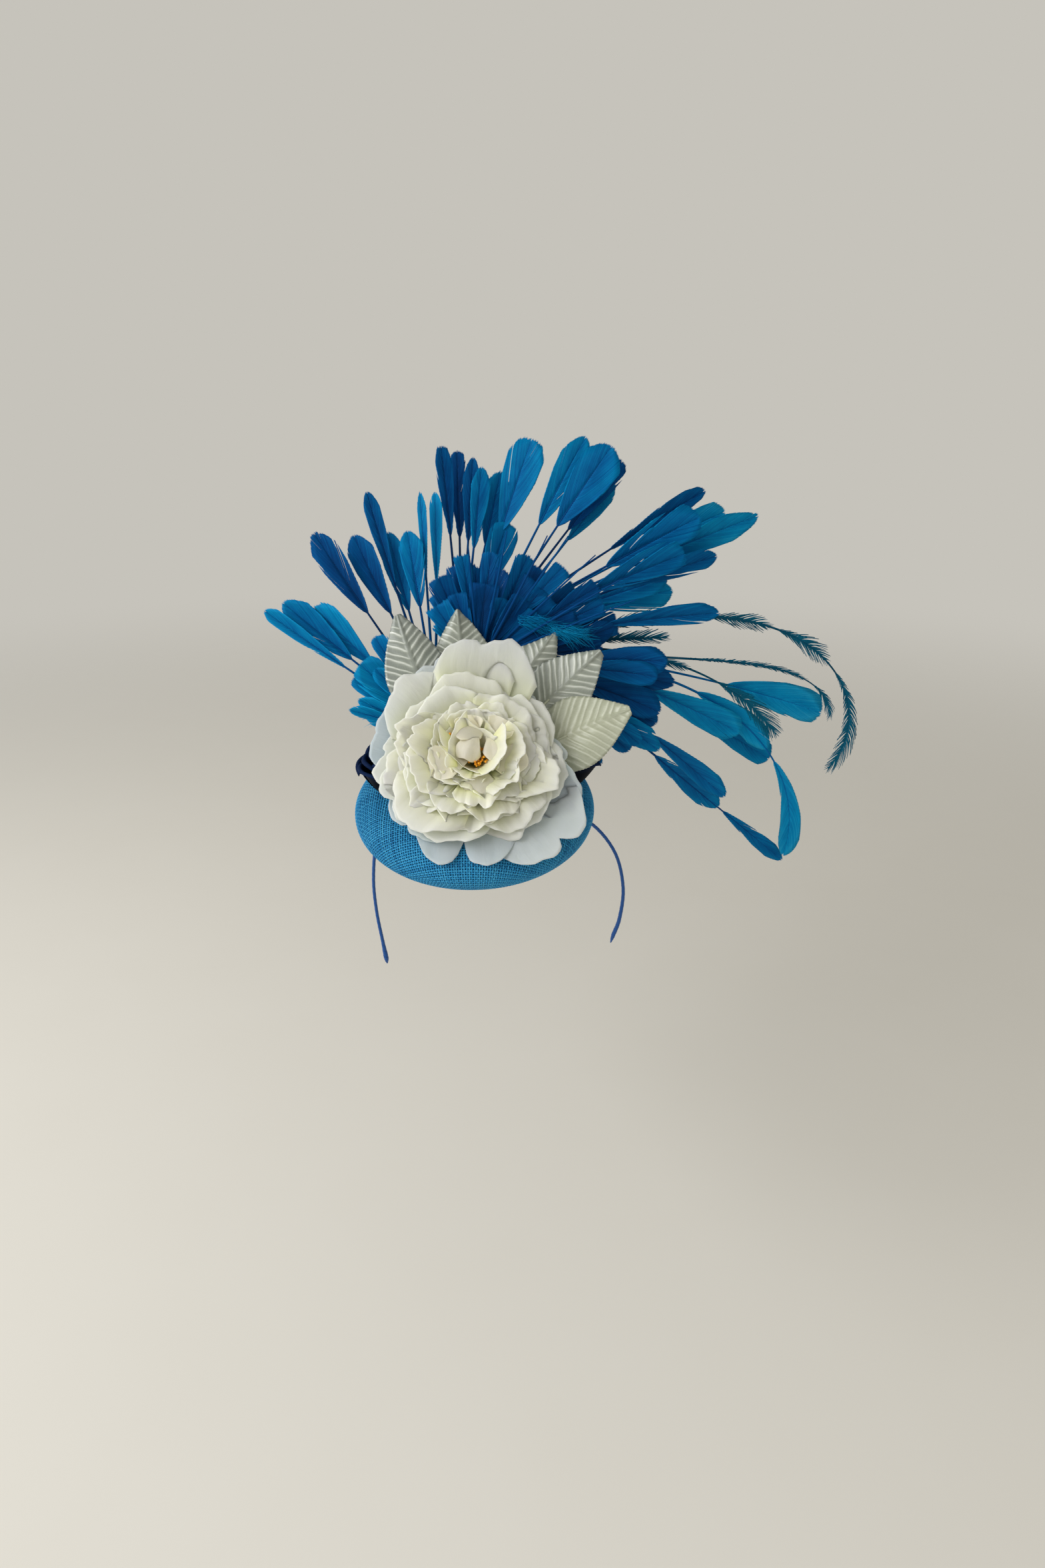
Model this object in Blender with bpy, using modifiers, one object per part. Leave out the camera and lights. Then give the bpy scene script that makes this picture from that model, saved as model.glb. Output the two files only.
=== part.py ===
"""A fascinator: a round padded sinamay base on a wire headband, trimmed with a large silk peony, satin leaves, two
small ribbon roses and sprays of stripped coque feathers.

Frame: metres, +Z up as worn, the wearer faces -Y and the viewer of the front looks along +Y. The origin is the centre
of the base's mouth, where it sits on the head. The base tips forward by BASE_TILT.
"""

import math
from collections import namedtuple

import bmesh
import bpy
import numpy as np
from mathutils import Matrix, Vector

MM = 0.001
GAP = 0.3 * MM  # between pieces that touch on the real thing

# The sinamay base, in its own frame: z runs up its axis from the mouth
BASE_TILT = math.radians(11)
BASE_RADIUS = 72.0 * MM
BASE_WALL = 2.0 * MM
CROWN_RADIUS = 54.0 * MM  # the gently domed top, inside the rolled edge
CROWN_HEIGHT = 34.0 * MM
CROWN_DROP = 3.0 * MM  # how much lower the dome is where the rolled edge starts
ROLL_HALF_HEIGHT = 15.5 * MM
ROLL_FIRST, ROLL_LAST = math.radians(90), math.radians(-70)
ROLL_STEPS = 7
CROWN_STEPS = 2
BASE_SIDES = 36
BINDING_RADIUS = 1.0 * MM

# The headband: a satin-wrapped wire through hand-chosen points, left tip to right tip
BAND_RADIUS = 1.3 * MM
BAND_SPACING = 16.0 * MM
BandPoint = namedtuple("BandPoint", "x y z thickness")
BAND_POINTS = (
    BandPoint(-67, 46, -127, 0.5),
    BandPoint(-67.5, 45.5, -122, 1.5),
    BandPoint(-69, 44, -108, 1.1),
    BandPoint(-71.5, 41, -82, 1.0),
    BandPoint(-71.5, 37, -55, 1.0),
    BandPoint(-67, 31, -24, 1.0),
    BandPoint(-57.2, 18, 1.6, 1.0),
    BandPoint(-36, 15, 5.5, 1.0),
    BandPoint(0, 13, 9, 1.0),
    BandPoint(36, 15, 5.5, 1.0),
    BandPoint(57.2, 18, 1.6, 1.0),
    BandPoint(76, 29, -13, 1.0),
    BandPoint(91, 35, -36, 1.0),
    BandPoint(97.5, 40, -64, 1.05),
    BandPoint(96.5, 45, -90, 1.2),
    BandPoint(93, 49, -106, 1.3),
    BandPoint(91.5, 50.5, -113, 0.4),
)

# The peony, in its own frame: z runs out along the flower's axis, x to the right, y up the flower's face
FLOWER_BACK = Vector((2, -24, 47.5)) * MM
FLOWER_RISE = math.radians(42)  # how far the axis points above the horizontal
LAYER_WALL = 1.0 * MM
LAYER_HOLE = 2.1 * MM
STEM_RADIUS = 1.5 * MM
WIRE_SPACING = 9.0 * MM
STEM_FOOT = Vector((2, 6, 0)) * MM  # where the stem stands on the base's crown, in the base's frame
STEM_RISE_LOW = 3.0 * MM
STEM_STRAIGHT = 9.0 * MM  # its straight stretch behind the flower
STEM_END = 13.5 * MM
LEAN_OUT = 0.27  # how much every layer cups towards the viewer, per unit of radius
LEAN_UP = 0.04  # and how much more its upper side does, which stands upright
BOW = 3.0  # how far every petal arches between its root and its tip
REACH_ANGLES = (0, 45, 90, 135, 180, 225, 270, 315)  # the flower isn't round: it gives way to the leaves and roses
REACH_SHARES = (0.88, 0.75, 1.0, 0.84, 0.80, 0.92, 0.90, 1.0)
POINTS_PER_PETAL = 4
Layer = namedtuple("Layer", "petals radius hub rim ruffle notch turn rows")
LAYERS = (
    Layer(8, 73, 0.0, 0.0, 1.6, 0.26, 0, 3),
    Layer(7, 65, 1.6, 9.0, 1.8, 0.22, 38, 3),
    Layer(7, 57, 3.2, 16.5, 1.8, 0.22, 5, 3),
    Layer(7, 48, 4.8, 22.5, 1.6, 0.22, 30, 3),
    Layer(6, 38, 6.4, 27.0, 1.4, 0.24, 12, 2),
    Layer(6, 28, 8.0, 30.0, 1.0, 0.26, 44, 2),
    Layer(5, 18, 9.6, 31.5, 0.6, 0.28, 20, 2),
)
STAMEN_RADIUS = 4.4 * MM
STAMEN_TOP = 25.0 * MM

# The satin leaves lie behind the flower, in its frame: angle of the tip round the axis, reach of base and tip
LEAF_WALL = 1.0 * MM
LEAF_DROOP = 2.5 * MM  # how far a leaf's edges bend back behind its midrib
LEAF_RIBS, LEAF_RIB_HEIGHT, LEAF_RIB_SLANT = 3.5, 0.9 * MM, 0.25
LEAF_COLUMNS, LEAF_ROWS = 4, 7
STALK_RADIUS = 0.8 * MM
STALK_RISE = 6.0 * MM  # straight up from the base before it turns to the leaf
STALK_IN_LEAF = 0.35  # how far the stalk runs up the leaf as its midrib
Leaf = namedtuple("Leaf", "name angle base_angle base tip width behind foot_x foot_y")
LEAVES = (
    Leaf("leaf_left", 117, 127, 36, 96, 36, 5.0, -14, 4),
    Leaf("leaf_top_left", 97, 93, 30, 91, 36, 11.0, -6, 14),
    Leaf("leaf_top_right", 60, 68, 34, 92, 34, 17.0, 12, 14),
    Leaf("leaf_upper_right", 41, 43, 38, 99, 37, 11.0, 24, 4),
    Leaf("leaf_right", 17, 11, 37, 101, 42, 5.0, 30, -10),
)

# The ribbon roses: centre above the base, and the way each faces
ROSE_RADIUS = 18.0 * MM
ROSE_HEIGHT = 31.0 * MM
ROSE_TURNS = 4.2
ROSE_LIFT = 0.3 * MM
Rose = namedtuple("Rose", "name foot_x foot_y lean_x lean_y")
ROSES = (
    Rose("ribbon_rose_left", -51, -6, -10, 10),
    Rose("ribbon_rose_right", 54, 4, 14, 8),
)

# The feathers: each spray is a bound stem that stands on the crown and ends in a neck, from which its feathers fan out
STEM_TUBE_RADIUS = 2.0 * MM
STEM_SPACING = 14.0 * MM
NECK_RADIUS, NECK_LENGTH = 3.2 * MM, 8.0 * MM  # half sizes of the bound bunch of quills
STEM_RISE, STEM_APPROACH = 0.25, 0.2  # straight shares of a stem at its foot and below its neck
QUILL_WIDTH = 1.5 * MM
QUILL_TIP_WIDTH = 1.0 * MM
ROOT_STEP = 1.5 * MM  # neighbours in a spray start this far apart in depth
Spray = namedtuple("Spray", "name foot_x foot_y neck_x neck_y neck_z aim")
SPRAYS = (
    Spray("feathers_low_left", -22, 27, -20, 24, 50, 110),
    Spray("feathers_low_right", 30, 30, 26, 24, 97, 15),
    Spray("feathers_short_crest", 6, 30, 2, 28, 95, 80),
    Spray("feathers_left", -13, 36, -13, 33, 46, 110),
    Spray("feathers_trailing", 18, 38, 7, 35, 104, 10),
    Spray("feathers_dropping", 34, 42, 29, 42, 103, -10),
    Spray("feathers_right", 2, 44, -3, 46, 104, 25),
    Spray("feathers_top_left", -26, 46, -27, 46, 71, 100),
    Spray("feathers_top_right", 12, 50, -1, 51, 95, 55),
    Spray("feathers_top", -8, 52, -10, 56, 93, 85),
)

# One row for each feather. angle and turn give its line in the fan's plane, in degrees from +X, and ease says how late
# the turn comes. lean tips it back. vanes are (start, end, width): shares of the length, and millimetres.
Feather = namedtuple("Feather", "spray angle length turn ease lean vanes")
FEATHERS = (
    Feather("feathers_low_left", 155, 57, 0, 1, 3, ((0.35, 1, 11),)),
    Feather("feathers_low_left", 166, 50, 0, 1, 8, ((0.35, 1, 13),)),
    Feather("feathers_low_left", 137, 68, 0, 1, 0, ((0.30, 1, 22),)),
    Feather("feathers_low_left", 123, 74, 0, 1, 6, ((0.50, 1, 13),)),
    Feather("feathers_low_right", 6, 90, -8, 1, -2, ((0.35, 1, 19),)),
    Feather("feathers_low_right", -14, 94, -12, 1, 3, ((0.35, 1, 19),)),
    Feather("feathers_low_right", -28, 104, -8, 1, -1, ((0.45, 1, 17),)),
    Feather("feathers_low_right", -47, 84, -8, 1, 3, ((0.60, 1, 9),)),
    Feather("feathers_low_right", 21, 62, 0, 1, 4, ((0.35, 1, 18),)),
    Feather("feathers_short_crest", 113, 58, 0, 1, 2, ((0.30, 1, 16),)),
    Feather("feathers_short_crest", 124, 44, 0, 1, -2, ((0.30, 1, 17),)),
    Feather("feathers_short_crest", 98, 60, 0, 1, 5, ((0.35, 1, 15),)),
    Feather("feathers_short_crest", 84, 50, 0, 1, 0, ((0.30, 1, 18),)),
    Feather("feathers_short_crest", 66, 62, -6, 1, 4, ((0.35, 1, 18),)),
    Feather("feathers_short_crest", 48, 60, -6, 1, 0, ((0.30, 1, 20),)),
    Feather("feathers_short_crest", 33, 66, -6, 1, 4, ((0.35, 1, 17),)),
    Feather("feathers_left", 147, 140, -4, 1, 3, ((0.62, 1, 13),)),
    Feather("feathers_left", 138, 117, -4, 1, 7, ((0.58, 1, 21),)),
    Feather("feathers_left", 126, 150, -3, 1, 9, ((0.62, 1, 16),)),
    Feather("feathers_left", 130, 142, -4, 1, 5, ((0.64, 1, 15),)),
    Feather("feathers_trailing", 15, 142, -12, 1, 0, ((0.52, 1, 15),)),
    Feather("feathers_trailing", 5, 112, -4, 1, 2, ((0.56, 1, 11),)),
    Feather(
        "feathers_trailing", 11, 305, -140, 2.9, 3,
        ((0.23, 0.36, 12), (0.44, 0.58, 13), (0.60, 0.73, 13), (0.76, 1, 11)),
    ),
    Feather("feathers_trailing", -3, 232, -85, 8, 1, ((0.48, 0.86, 4), (0.89, 1, 6))),
    Feather("feathers_dropping", -8, 202, -12, 1, 6, ((0.66, 1, 22),)),
    Feather("feathers_dropping", -15, 150, -14, 1, 0, ((0.56, 1, 22),)),
    Feather("feathers_dropping", 0, 182, -54, 1.7, 1, ((0.38, 0.58, 8), (0.70, 1, 15))),
    Feather("feathers_dropping", -9, 260, -94, 2.0, 2, ((0.44, 0.68, 16), (0.72, 1, 14))),
    Feather("feathers_dropping", -19, 188, -16, 1, 9, ((0.66, 1, 18),)),
    Feather("feathers_dropping", -41, 240, 0, 1, 5, ((0.48, 0.73, 18), (0.75, 1, 11))),
    Feather("feathers_dropping", -31, 166, -12, 1, 0, ((0.60, 1, 16),)),
    Feather("feathers_right", 27, 192, -8, 1, 7, ((0.60, 1, 19),)),
    Feather("feathers_right", 34, 170, -5, 1, 11, ((0.60, 1, 12),)),
    Feather("feathers_right", 31, 158, -4, 1, 1, ((0.60, 1, 22),)),
    Feather("feathers_right", 26, 140, -4, 1, -3, ((0.58, 1, 21),)),
    Feather("feathers_right", 15, 131, -6, 1, 14, ((0.62, 1, 19),)),
    Feather("feathers_right", 22, 160, -6, 1, 4, ((0.62, 1, 15),)),
    Feather("feathers_top_left", 111, 128, -6, 1, 12, ((0.55, 1, 10),)),
    Feather("feathers_top_left", 119, 108, -6, 1, 8, ((0.52, 1, 18),)),
    Feather("feathers_top_left", 98, 101, 0, 1, 6, ((0.54, 1, 16),)),
    Feather("feathers_top_left", 108, 101, -4, 1, 16, ((0.52, 1, 16),)),
    Feather("feathers_top_left", 93, 122, 0, 1, 10, ((0.58, 1, 6),)),
    Feather("feathers_top_left", 87, 121, 4, 1, 13, ((0.56, 1, 9),)),
    Feather("feathers_top_right", 64, 146, -4, 1, 13, ((0.60, 1, 19),)),
    Feather("feathers_top_right", 58, 150, -4, 1, 8, ((0.62, 1, 26),)),
    Feather("feathers_top_right", 53, 147, -4, 1, 15, ((0.64, 1, 15),)),
    Feather("feathers_top_right", 49, 134, 0, 1, 20, ((0.66, 1, 15),)),
    Feather("feathers_top", 94, 126, 2, 1, 12, ((0.58, 1, 11),)),
    Feather("feathers_top", 90, 122, 2, 1, 18, ((0.58, 1, 12),)),
    Feather("feathers_top", 86, 119, 0, 1, 14, ((0.58, 1, 11),)),
    Feather("feathers_top", 82, 115, 2, 1, 9, ((0.58, 1, 12),)),
    Feather("feathers_top", 72, 137, -2, 1, 12, ((0.58, 1, 24),)),
    Feather("feathers_top", 77, 112, 0, 1, 21, ((0.60, 1, 19),)),
    Feather("feathers_top", 68, 86, 4, 1, 13, ((0.50, 1, 19),)),
)
VANE_SHAPE = ((0.0, 0.12), (0.3, 0.72), (0.62, 1.0), (0.88, 0.84), (1.0, 0.42))  # along the vane, share of its width
STRAIGHT = 20  # a quill that turns less than this many degrees is lofted in one step

Finish = namedtuple("Finish", "colour roughness metallic")
FINISHES = {
    "sinamay": Finish((0.02, 0.20, 0.46), 0.75, 0),
    "satin_blue": Finish((0.01, 0.06, 0.32), 0.40, 0),
    "petal_silk": Finish((0.80, 0.82, 0.66), 0.60, 0),
    "stamen": Finish((0.70, 0.36, 0.03), 0.70, 0),
    "stem_wire": Finish((0.20, 0.30, 0.12), 0.60, 0),
    "leaf_satin": Finish((0.62, 0.64, 0.52), 0.35, 0),
    "rose_navy": Finish((0.006, 0.012, 0.04), 0.55, 0),
    "feather": Finish((0.002, 0.09, 0.28), 0.45, 0),
}


def material(name):
    """The Principled material of that finish, made once."""
    found = bpy.data.materials.get(name)
    if found:
        return found
    made = bpy.data.materials.new(name)
    made.use_nodes = True
    finish = FINISHES[name]
    shader = made.node_tree.nodes["Principled BSDF"]
    shader.inputs["Base Color"].default_value = (*finish.colour, 1)
    shader.inputs["Roughness"].default_value = finish.roughness
    shader.inputs["Metallic"].default_value = finish.metallic
    return made


def node(name, mesh, finish, parent=None):
    """A named object of the part, with its own finish."""
    thing = bpy.data.objects.new(name, mesh)
    mesh.materials.clear()
    mesh.materials.append(material(finish))
    bpy.data.collections["fascinator"].objects.link(thing)
    thing.parent = parent
    return thing


def mesh_from(name, points, faces):
    mesh = bpy.data.meshes.new(name)
    mesh.from_pydata([tuple(p) for p in points], [], faces)
    mesh.update()
    return mesh


def smooth(thing, degrees=40):
    thing.data.shade_smooth()
    thing.data.set_sharp_from_angle(angle=math.radians(degrees))
    return thing


def evaluated_mesh(thing):
    """A mesh of the object as its modifiers leave it, in world space."""
    bpy.context.view_layer.update()
    graph = bpy.context.evaluated_depsgraph_get()
    mesh = bpy.data.meshes.new_from_object(thing.evaluated_get(graph))
    mesh.transform(thing.matrix_world)
    bm = bmesh.new()
    bm.from_mesh(mesh)
    bmesh.ops.remove_doubles(bm, verts=bm.verts, dist=1e-6)
    bm.to_mesh(mesh)
    bm.free()
    return mesh


def fused(thing, others):
    """Joins the others to the thing with Boolean unions, applies them and removes the others."""
    for other in others:
        union = thing.modifiers.new("union", "BOOLEAN")
        union.operation = "UNION"
        union.object = other
    mesh = evaluated_mesh(thing)
    thing.modifiers.clear()
    thing.data = mesh
    thing.parent = None
    thing.matrix_world = Matrix.Identity(4)
    for other in others:
        bpy.data.objects.remove(other)
    return thing


def catmull_rom(points, spacing):
    """Points about a spacing apart on the smooth curve through the given ones. A row may hold more than x, y, z."""
    rows = np.array(points, float)
    padded = np.vstack([2 * rows[0] - rows[1], rows, 2 * rows[-1] - rows[-2]])
    found = []
    for before, start, end, after in zip(padded, padded[1:], padded[2:], padded[3:]):
        steps = max(1, round(np.linalg.norm((end - start)[:3]) / spacing))
        for t in np.arange(steps) / steps:
            bend = 2 * start + (end - before) * t + (2 * before - 5 * start + 4 * end - after) * t**2
            found.append((bend + (3 * start - before - 3 * end + after) * t**3) / 2)
    return np.array(found + [rows[-1]])


def tube(name, points, radius, finish, roundness=1, thickness=None):
    """A round wire along the points, as a mesh with welded caps."""
    curve = bpy.data.curves.new(name, "CURVE")
    curve.dimensions = "3D"
    curve.bevel_depth = radius
    curve.bevel_resolution = roundness
    curve.use_fill_caps = True
    spline = curve.splines.new("POLY")
    spline.points.add(len(points) - 1)
    for i, point in enumerate(points):
        spline.points[i].co = (*point[:3], 1)
        spline.points[i].radius = 1.0 if thickness is None else thickness[i]
    guide = bpy.data.objects.new(name + "_guide", curve)
    bpy.context.scene.collection.objects.link(guide)
    mesh = evaluated_mesh(guide)
    bpy.data.objects.remove(guide)
    return node(name, mesh, finish)


def base_frame():
    """The empty that the base's pieces hang on: it tips them forward as worn."""
    frame = bpy.data.objects.new("base_frame", None)
    frame.rotation_euler = (BASE_TILT, 0, 0)
    bpy.data.collections["fascinator"].objects.link(frame)
    return frame


def crown_height(radius):
    """Height of the domed top over the mouth, at that distance from the base's axis."""
    return CROWN_HEIGHT - CROWN_DROP * (radius / CROWN_RADIUS) ** 2


def on_crown(x, y, above=0.0):
    """The world point over that spot of the crown, so far above it along the base's axis."""
    point = Vector((x, y, crown_height(math.hypot(x, y)) + above))
    return Matrix.Rotation(BASE_TILT, 3, "X") @ point


def base_profile():
    """The outline of the base from its top down to the mouth: a shallow dome, then a rolled edge turned under."""
    points = [(r, 0, crown_height(r)) for r in np.linspace(0, CROWN_RADIUS, CROWN_STEPS + 1)[:-1]]
    middle = CROWN_HEIGHT - CROWN_DROP - ROLL_HALF_HEIGHT
    for angle in np.linspace(ROLL_FIRST, ROLL_LAST, ROLL_STEPS + 1):
        across = CROWN_RADIUS + (BASE_RADIUS - CROWN_RADIUS) * math.cos(angle)
        points.append((across, 0, middle + ROLL_HALF_HEIGHT * math.sin(angle)))
    return points


def build_base(frame):
    """The hollow sinamay base, open at its mouth, and the binding round the mouth's edge."""
    points = base_profile()
    mesh = bpy.data.meshes.new("sinamay_base")
    mesh.from_pydata(points, [(i, i + 1) for i in range(len(points) - 1)], [])
    shell = node("sinamay_base", mesh, "sinamay", frame)
    screw = shell.modifiers.new("turn", "SCREW")
    screw.steps = screw.render_steps = BASE_SIDES
    screw.use_merge_vertices = True
    screw.merge_threshold = 1e-5
    wall = shell.modifiers.new("wall", "SOLIDIFY")
    wall.thickness = BASE_WALL
    wall.offset = -1
    edge, before = Vector(points[-1]), Vector(points[-2])
    inward = (edge - before).normalized()
    through = Vector((inward.z, 0, -inward.x)) * BASE_WALL / 2
    centre = edge + (through if through.z > 0 else -through) + inward * (BINDING_RADIUS + GAP)
    bpy.ops.mesh.primitive_torus_add(
        major_radius=centre.x, minor_radius=BINDING_RADIUS, major_segments=BASE_SIDES, minor_segments=4
    )
    ring = bpy.context.object
    mesh = ring.data
    bpy.data.objects.remove(ring)
    mesh.transform(Matrix.Translation((0, 0, centre.z)))
    smooth(node("edge_binding", mesh, "satin_blue", frame))


def build_headband():
    """The wrapped wire: over the head under the base's mouth, and down behind the ears to two slim tips."""
    points = catmull_rom(BAND_POINTS, BAND_SPACING / MM)
    smooth(tube("headband", points[:, :3] * MM, BAND_RADIUS, "satin_blue", 2, points[:, 3]))


def flower_matrix():
    """Turns the flower's own frame to the world: its z axis points forward and up."""
    tip = Matrix.Rotation(math.radians(90) - FLOWER_RISE, 4, "X")
    return Matrix.Translation(FLOWER_BACK) @ tip


def leaning(radius, angle):
    """How far the flower's face stands out at that radius, apart from a layer's own cup."""
    return radius * (LEAN_OUT + LEAN_UP * math.sin(angle))


def flower_reach(angle):
    """Share of its full radius that the flower has in that direction."""
    return float(np.interp(math.degrees(angle), REACH_ANGLES, REACH_SHARES, period=360))


def layer_point(layer, share, angle):
    """A point of a petal layer: share runs from its hole to its lobed edge."""
    lobe = abs(math.cos(layer.petals * (angle - math.radians(layer.turn)) / 2)) ** 0.6
    reach = layer.radius * MM * flower_reach(angle) * (1 - layer.notch * (1 - lobe))
    radius = LAYER_HOLE + (reach - LAYER_HOLE) * share
    out = radius / (layer.radius * MM)
    wave = math.sin(layer.petals * 2 * angle + math.radians(3 * layer.turn))
    height = layer.hub + (layer.rim - layer.hub) * out**1.3 + layer.ruffle * share**2 * wave
    height += BOW * math.sin(math.pi * out)
    return Vector((radius * math.cos(angle), radius * math.sin(angle), height * MM + leaning(radius, angle)))


def build_layer(name, layer):
    """One die-cut layer of petals: a lobed and ruffled sheet with a hole for the stem."""
    columns = layer.petals * POINTS_PER_PETAL
    bm = bmesh.new()
    bmesh.ops.create_grid(bm, x_segments=columns, y_segments=layer.rows, size=0.5)
    for vertex in bm.verts:
        angle = 2 * math.pi * (vertex.co.x + 0.5)
        vertex.co = layer_point(layer, vertex.co.y + 0.5, angle)
    bmesh.ops.remove_doubles(bm, verts=bm.verts, dist=1e-5)
    bmesh.ops.recalc_face_normals(bm, faces=bm.faces)
    if sum(face.normal.z for face in bm.faces) < 0:
        bmesh.ops.reverse_faces(bm, faces=bm.faces)
    mesh = bpy.data.meshes.new(name)
    bm.to_mesh(mesh)
    bm.free()
    sheet = node(name, mesh, "petal_silk")
    sheet.matrix_world = flower_matrix()
    wall = sheet.modifiers.new("wall", "SOLIDIFY")
    wall.thickness = LAYER_WALL
    wall.offset = 0
    smooth(sheet)


def build_flower():
    """The peony's stem, its stacked petal layers, and the stamens in its heart."""
    place = flower_matrix()
    foot = on_crown(STEM_FOOT.x, STEM_FOOT.y, GAP)
    rise = on_crown(STEM_FOOT.x, STEM_FOOT.y, GAP + STEM_RISE_LOW)
    straight = [place @ Vector((0, 0, height)) for height in (-STEM_STRAIGHT, 0, STEM_END)]
    tube("peony_stem", catmull_rom([foot, rise, *straight], WIRE_SPACING), STEM_RADIUS, "stem_wire")
    for number, layer in enumerate(LAYERS, 1):
        build_layer(f"peony_layer_{number}", layer)
    bm = bmesh.new()
    bmesh.ops.create_uvsphere(bm, u_segments=10, v_segments=6, radius=1)
    for vertex in bm.verts:
        bump = 1 + 0.12 * math.cos(5 * math.atan2(vertex.co.y, vertex.co.x)) * (1 - abs(vertex.co.z))
        vertex.co = Vector((
            vertex.co.x * bump * STAMEN_RADIUS,
            vertex.co.y * bump * STAMEN_RADIUS,
            STEM_END + GAP + (vertex.co.z + 1) / 2 * (STAMEN_TOP - STEM_END),
        ))
    mesh = bpy.data.meshes.new("peony_stamens")
    bm.to_mesh(mesh)
    bm.free()
    smooth(node("peony_stamens", mesh, "stamen")).matrix_world = place


def leaf_point(leaf, across, along):
    """A point of a leaf in the flower's frame. across runs from -1 to 1, along from 0 at the base to 1 at the tip."""
    first, last = math.radians(leaf.base_angle), math.radians(leaf.angle)
    start = Vector((math.cos(first), math.sin(first))) * leaf.base * MM
    end = Vector((math.cos(last), math.sin(last))) * leaf.tip * MM
    line = end - start
    side = Vector((-line.y, line.x)).normalized()
    half = leaf.width * MM / 2 * math.sin(math.pi * (0.06 + 0.90 * along) ** 0.85)
    spot = start + line * along + side * across * half
    rib_phase = 2 * math.pi * LEAF_RIBS * (along + LEAF_RIB_SLANT * abs(across))
    ribs = LEAF_RIB_HEIGHT * math.cos(rib_phase) * abs(across)
    stand = leaning(spot.length, math.atan2(spot.y, spot.x))
    height = stand - leaf.behind * MM - LEAF_DROOP * across**2 + ribs
    return Vector((spot.x, spot.y, height))


def leaf_stalk(leaf):
    """The leaf's wire stalk, from the base's crown up into the leaf's midrib."""
    place = flower_matrix()
    foot = on_crown(leaf.foot_x * MM, leaf.foot_y * MM, GAP)
    rise = on_crown(leaf.foot_x * MM, leaf.foot_y * MM, GAP + STALK_RISE)
    rib = [place @ leaf_point(leaf, 0, share) for share in (0, STALK_IN_LEAF / 2, STALK_IN_LEAF)]
    return tube(leaf.name + "_stalk", catmull_rom([foot, rise, *rib], WIRE_SPACING), STALK_RADIUS, "leaf_satin", 0)


def build_leaf(leaf):
    """A pointed satin leaf on its stalk, bent down along its edges and pleated along its ribs."""
    bm = bmesh.new()
    bmesh.ops.create_grid(bm, x_segments=LEAF_COLUMNS, y_segments=LEAF_ROWS, size=1)
    for vertex in bm.verts:
        vertex.co = leaf_point(leaf, vertex.co.x, (vertex.co.y + 1) / 2)
    mesh = bpy.data.meshes.new(leaf.name)
    bm.to_mesh(mesh)
    bm.free()
    sheet = node(leaf.name, mesh, "leaf_satin")
    sheet.matrix_world = flower_matrix()
    wall = sheet.modifiers.new("wall", "SOLIDIFY")
    wall.thickness = LEAF_WALL
    wall.offset = 0
    smooth(fused(sheet, [leaf_stalk(leaf)]))


def build_rose(rose):
    """A rolled ribbon rose: an open cup whose wall is one spiral ridge of petals."""
    bm = bmesh.new()
    bmesh.ops.create_uvsphere(bm, u_segments=16, v_segments=9, radius=1)
    for vertex in bm.verts:
        polar = math.acos(max(-1.0, min(1.0, vertex.co.z)))
        angle = math.atan2(vertex.co.y, vertex.co.x)
        turn = (polar / math.pi * ROSE_TURNS + angle / (2 * math.pi)) % 1.0
        swell = 1 + 0.16 * (turn - 0.5) * math.sin(polar)
        across = ROSE_RADIUS * math.sin(polar) ** 0.8 * swell
        vertex.co = Vector((across * math.cos(angle), across * math.sin(angle), ROSE_HEIGHT / 2 * (vertex.co.z + 1)))
    mesh = bpy.data.meshes.new(rose.name)
    bm.to_mesh(mesh)
    bm.free()
    thing = smooth(node(rose.name, mesh, "rose_navy"))
    lean = Matrix.Rotation(math.radians(rose.lean_x), 4, "Y") @ Matrix.Rotation(math.radians(rose.lean_y), 4, "X")
    thing.matrix_world = Matrix.Translation(on_crown(rose.foot_x * MM, rose.foot_y * MM, ROSE_LIFT)) @ lean


def feather_line(spray, feather, root_depth, share):
    """Centre and direction of a feather at that share of its length."""
    steps = np.linspace(0, share, 24)
    angles = np.radians(feather.angle + feather.turn * steps**feather.ease)
    reach = feather.length * share / (len(steps) - 1)
    weight = np.ones(len(steps))
    weight[[0, -1]] = 0.5
    x = spray.neck_x + reach * (np.cos(angles) * weight).sum()
    z = spray.neck_z + reach * (np.sin(angles) * weight).sum()
    slope = math.tan(math.radians(feather.lean))
    y = spray.neck_y + root_depth / MM + feather.length * share * slope
    along = Vector((math.cos(angles[-1]), slope, math.sin(angles[-1]))).normalized()
    return Vector((x, y, z)) * MM, along


def feather_widths(feather):
    """(share of the length, width) for each section: the bare quill, then the vanes with quill between them."""
    first = feather.vanes[0][0]
    steps = 1 if abs(feather.turn) < STRAIGHT else 3
    sections = [(first * i / steps, QUILL_WIDTH) for i in range(steps)]
    for start, end, width in feather.vanes:
        for share, part in VANE_SHAPE:
            wide = max(QUILL_TIP_WIDTH, width * MM * part)
            sections.append((start + (end - start) * share, wide))
        if end < 1:
            sections.append((end + 0.01, QUILL_TIP_WIDTH))
    return sections


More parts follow.
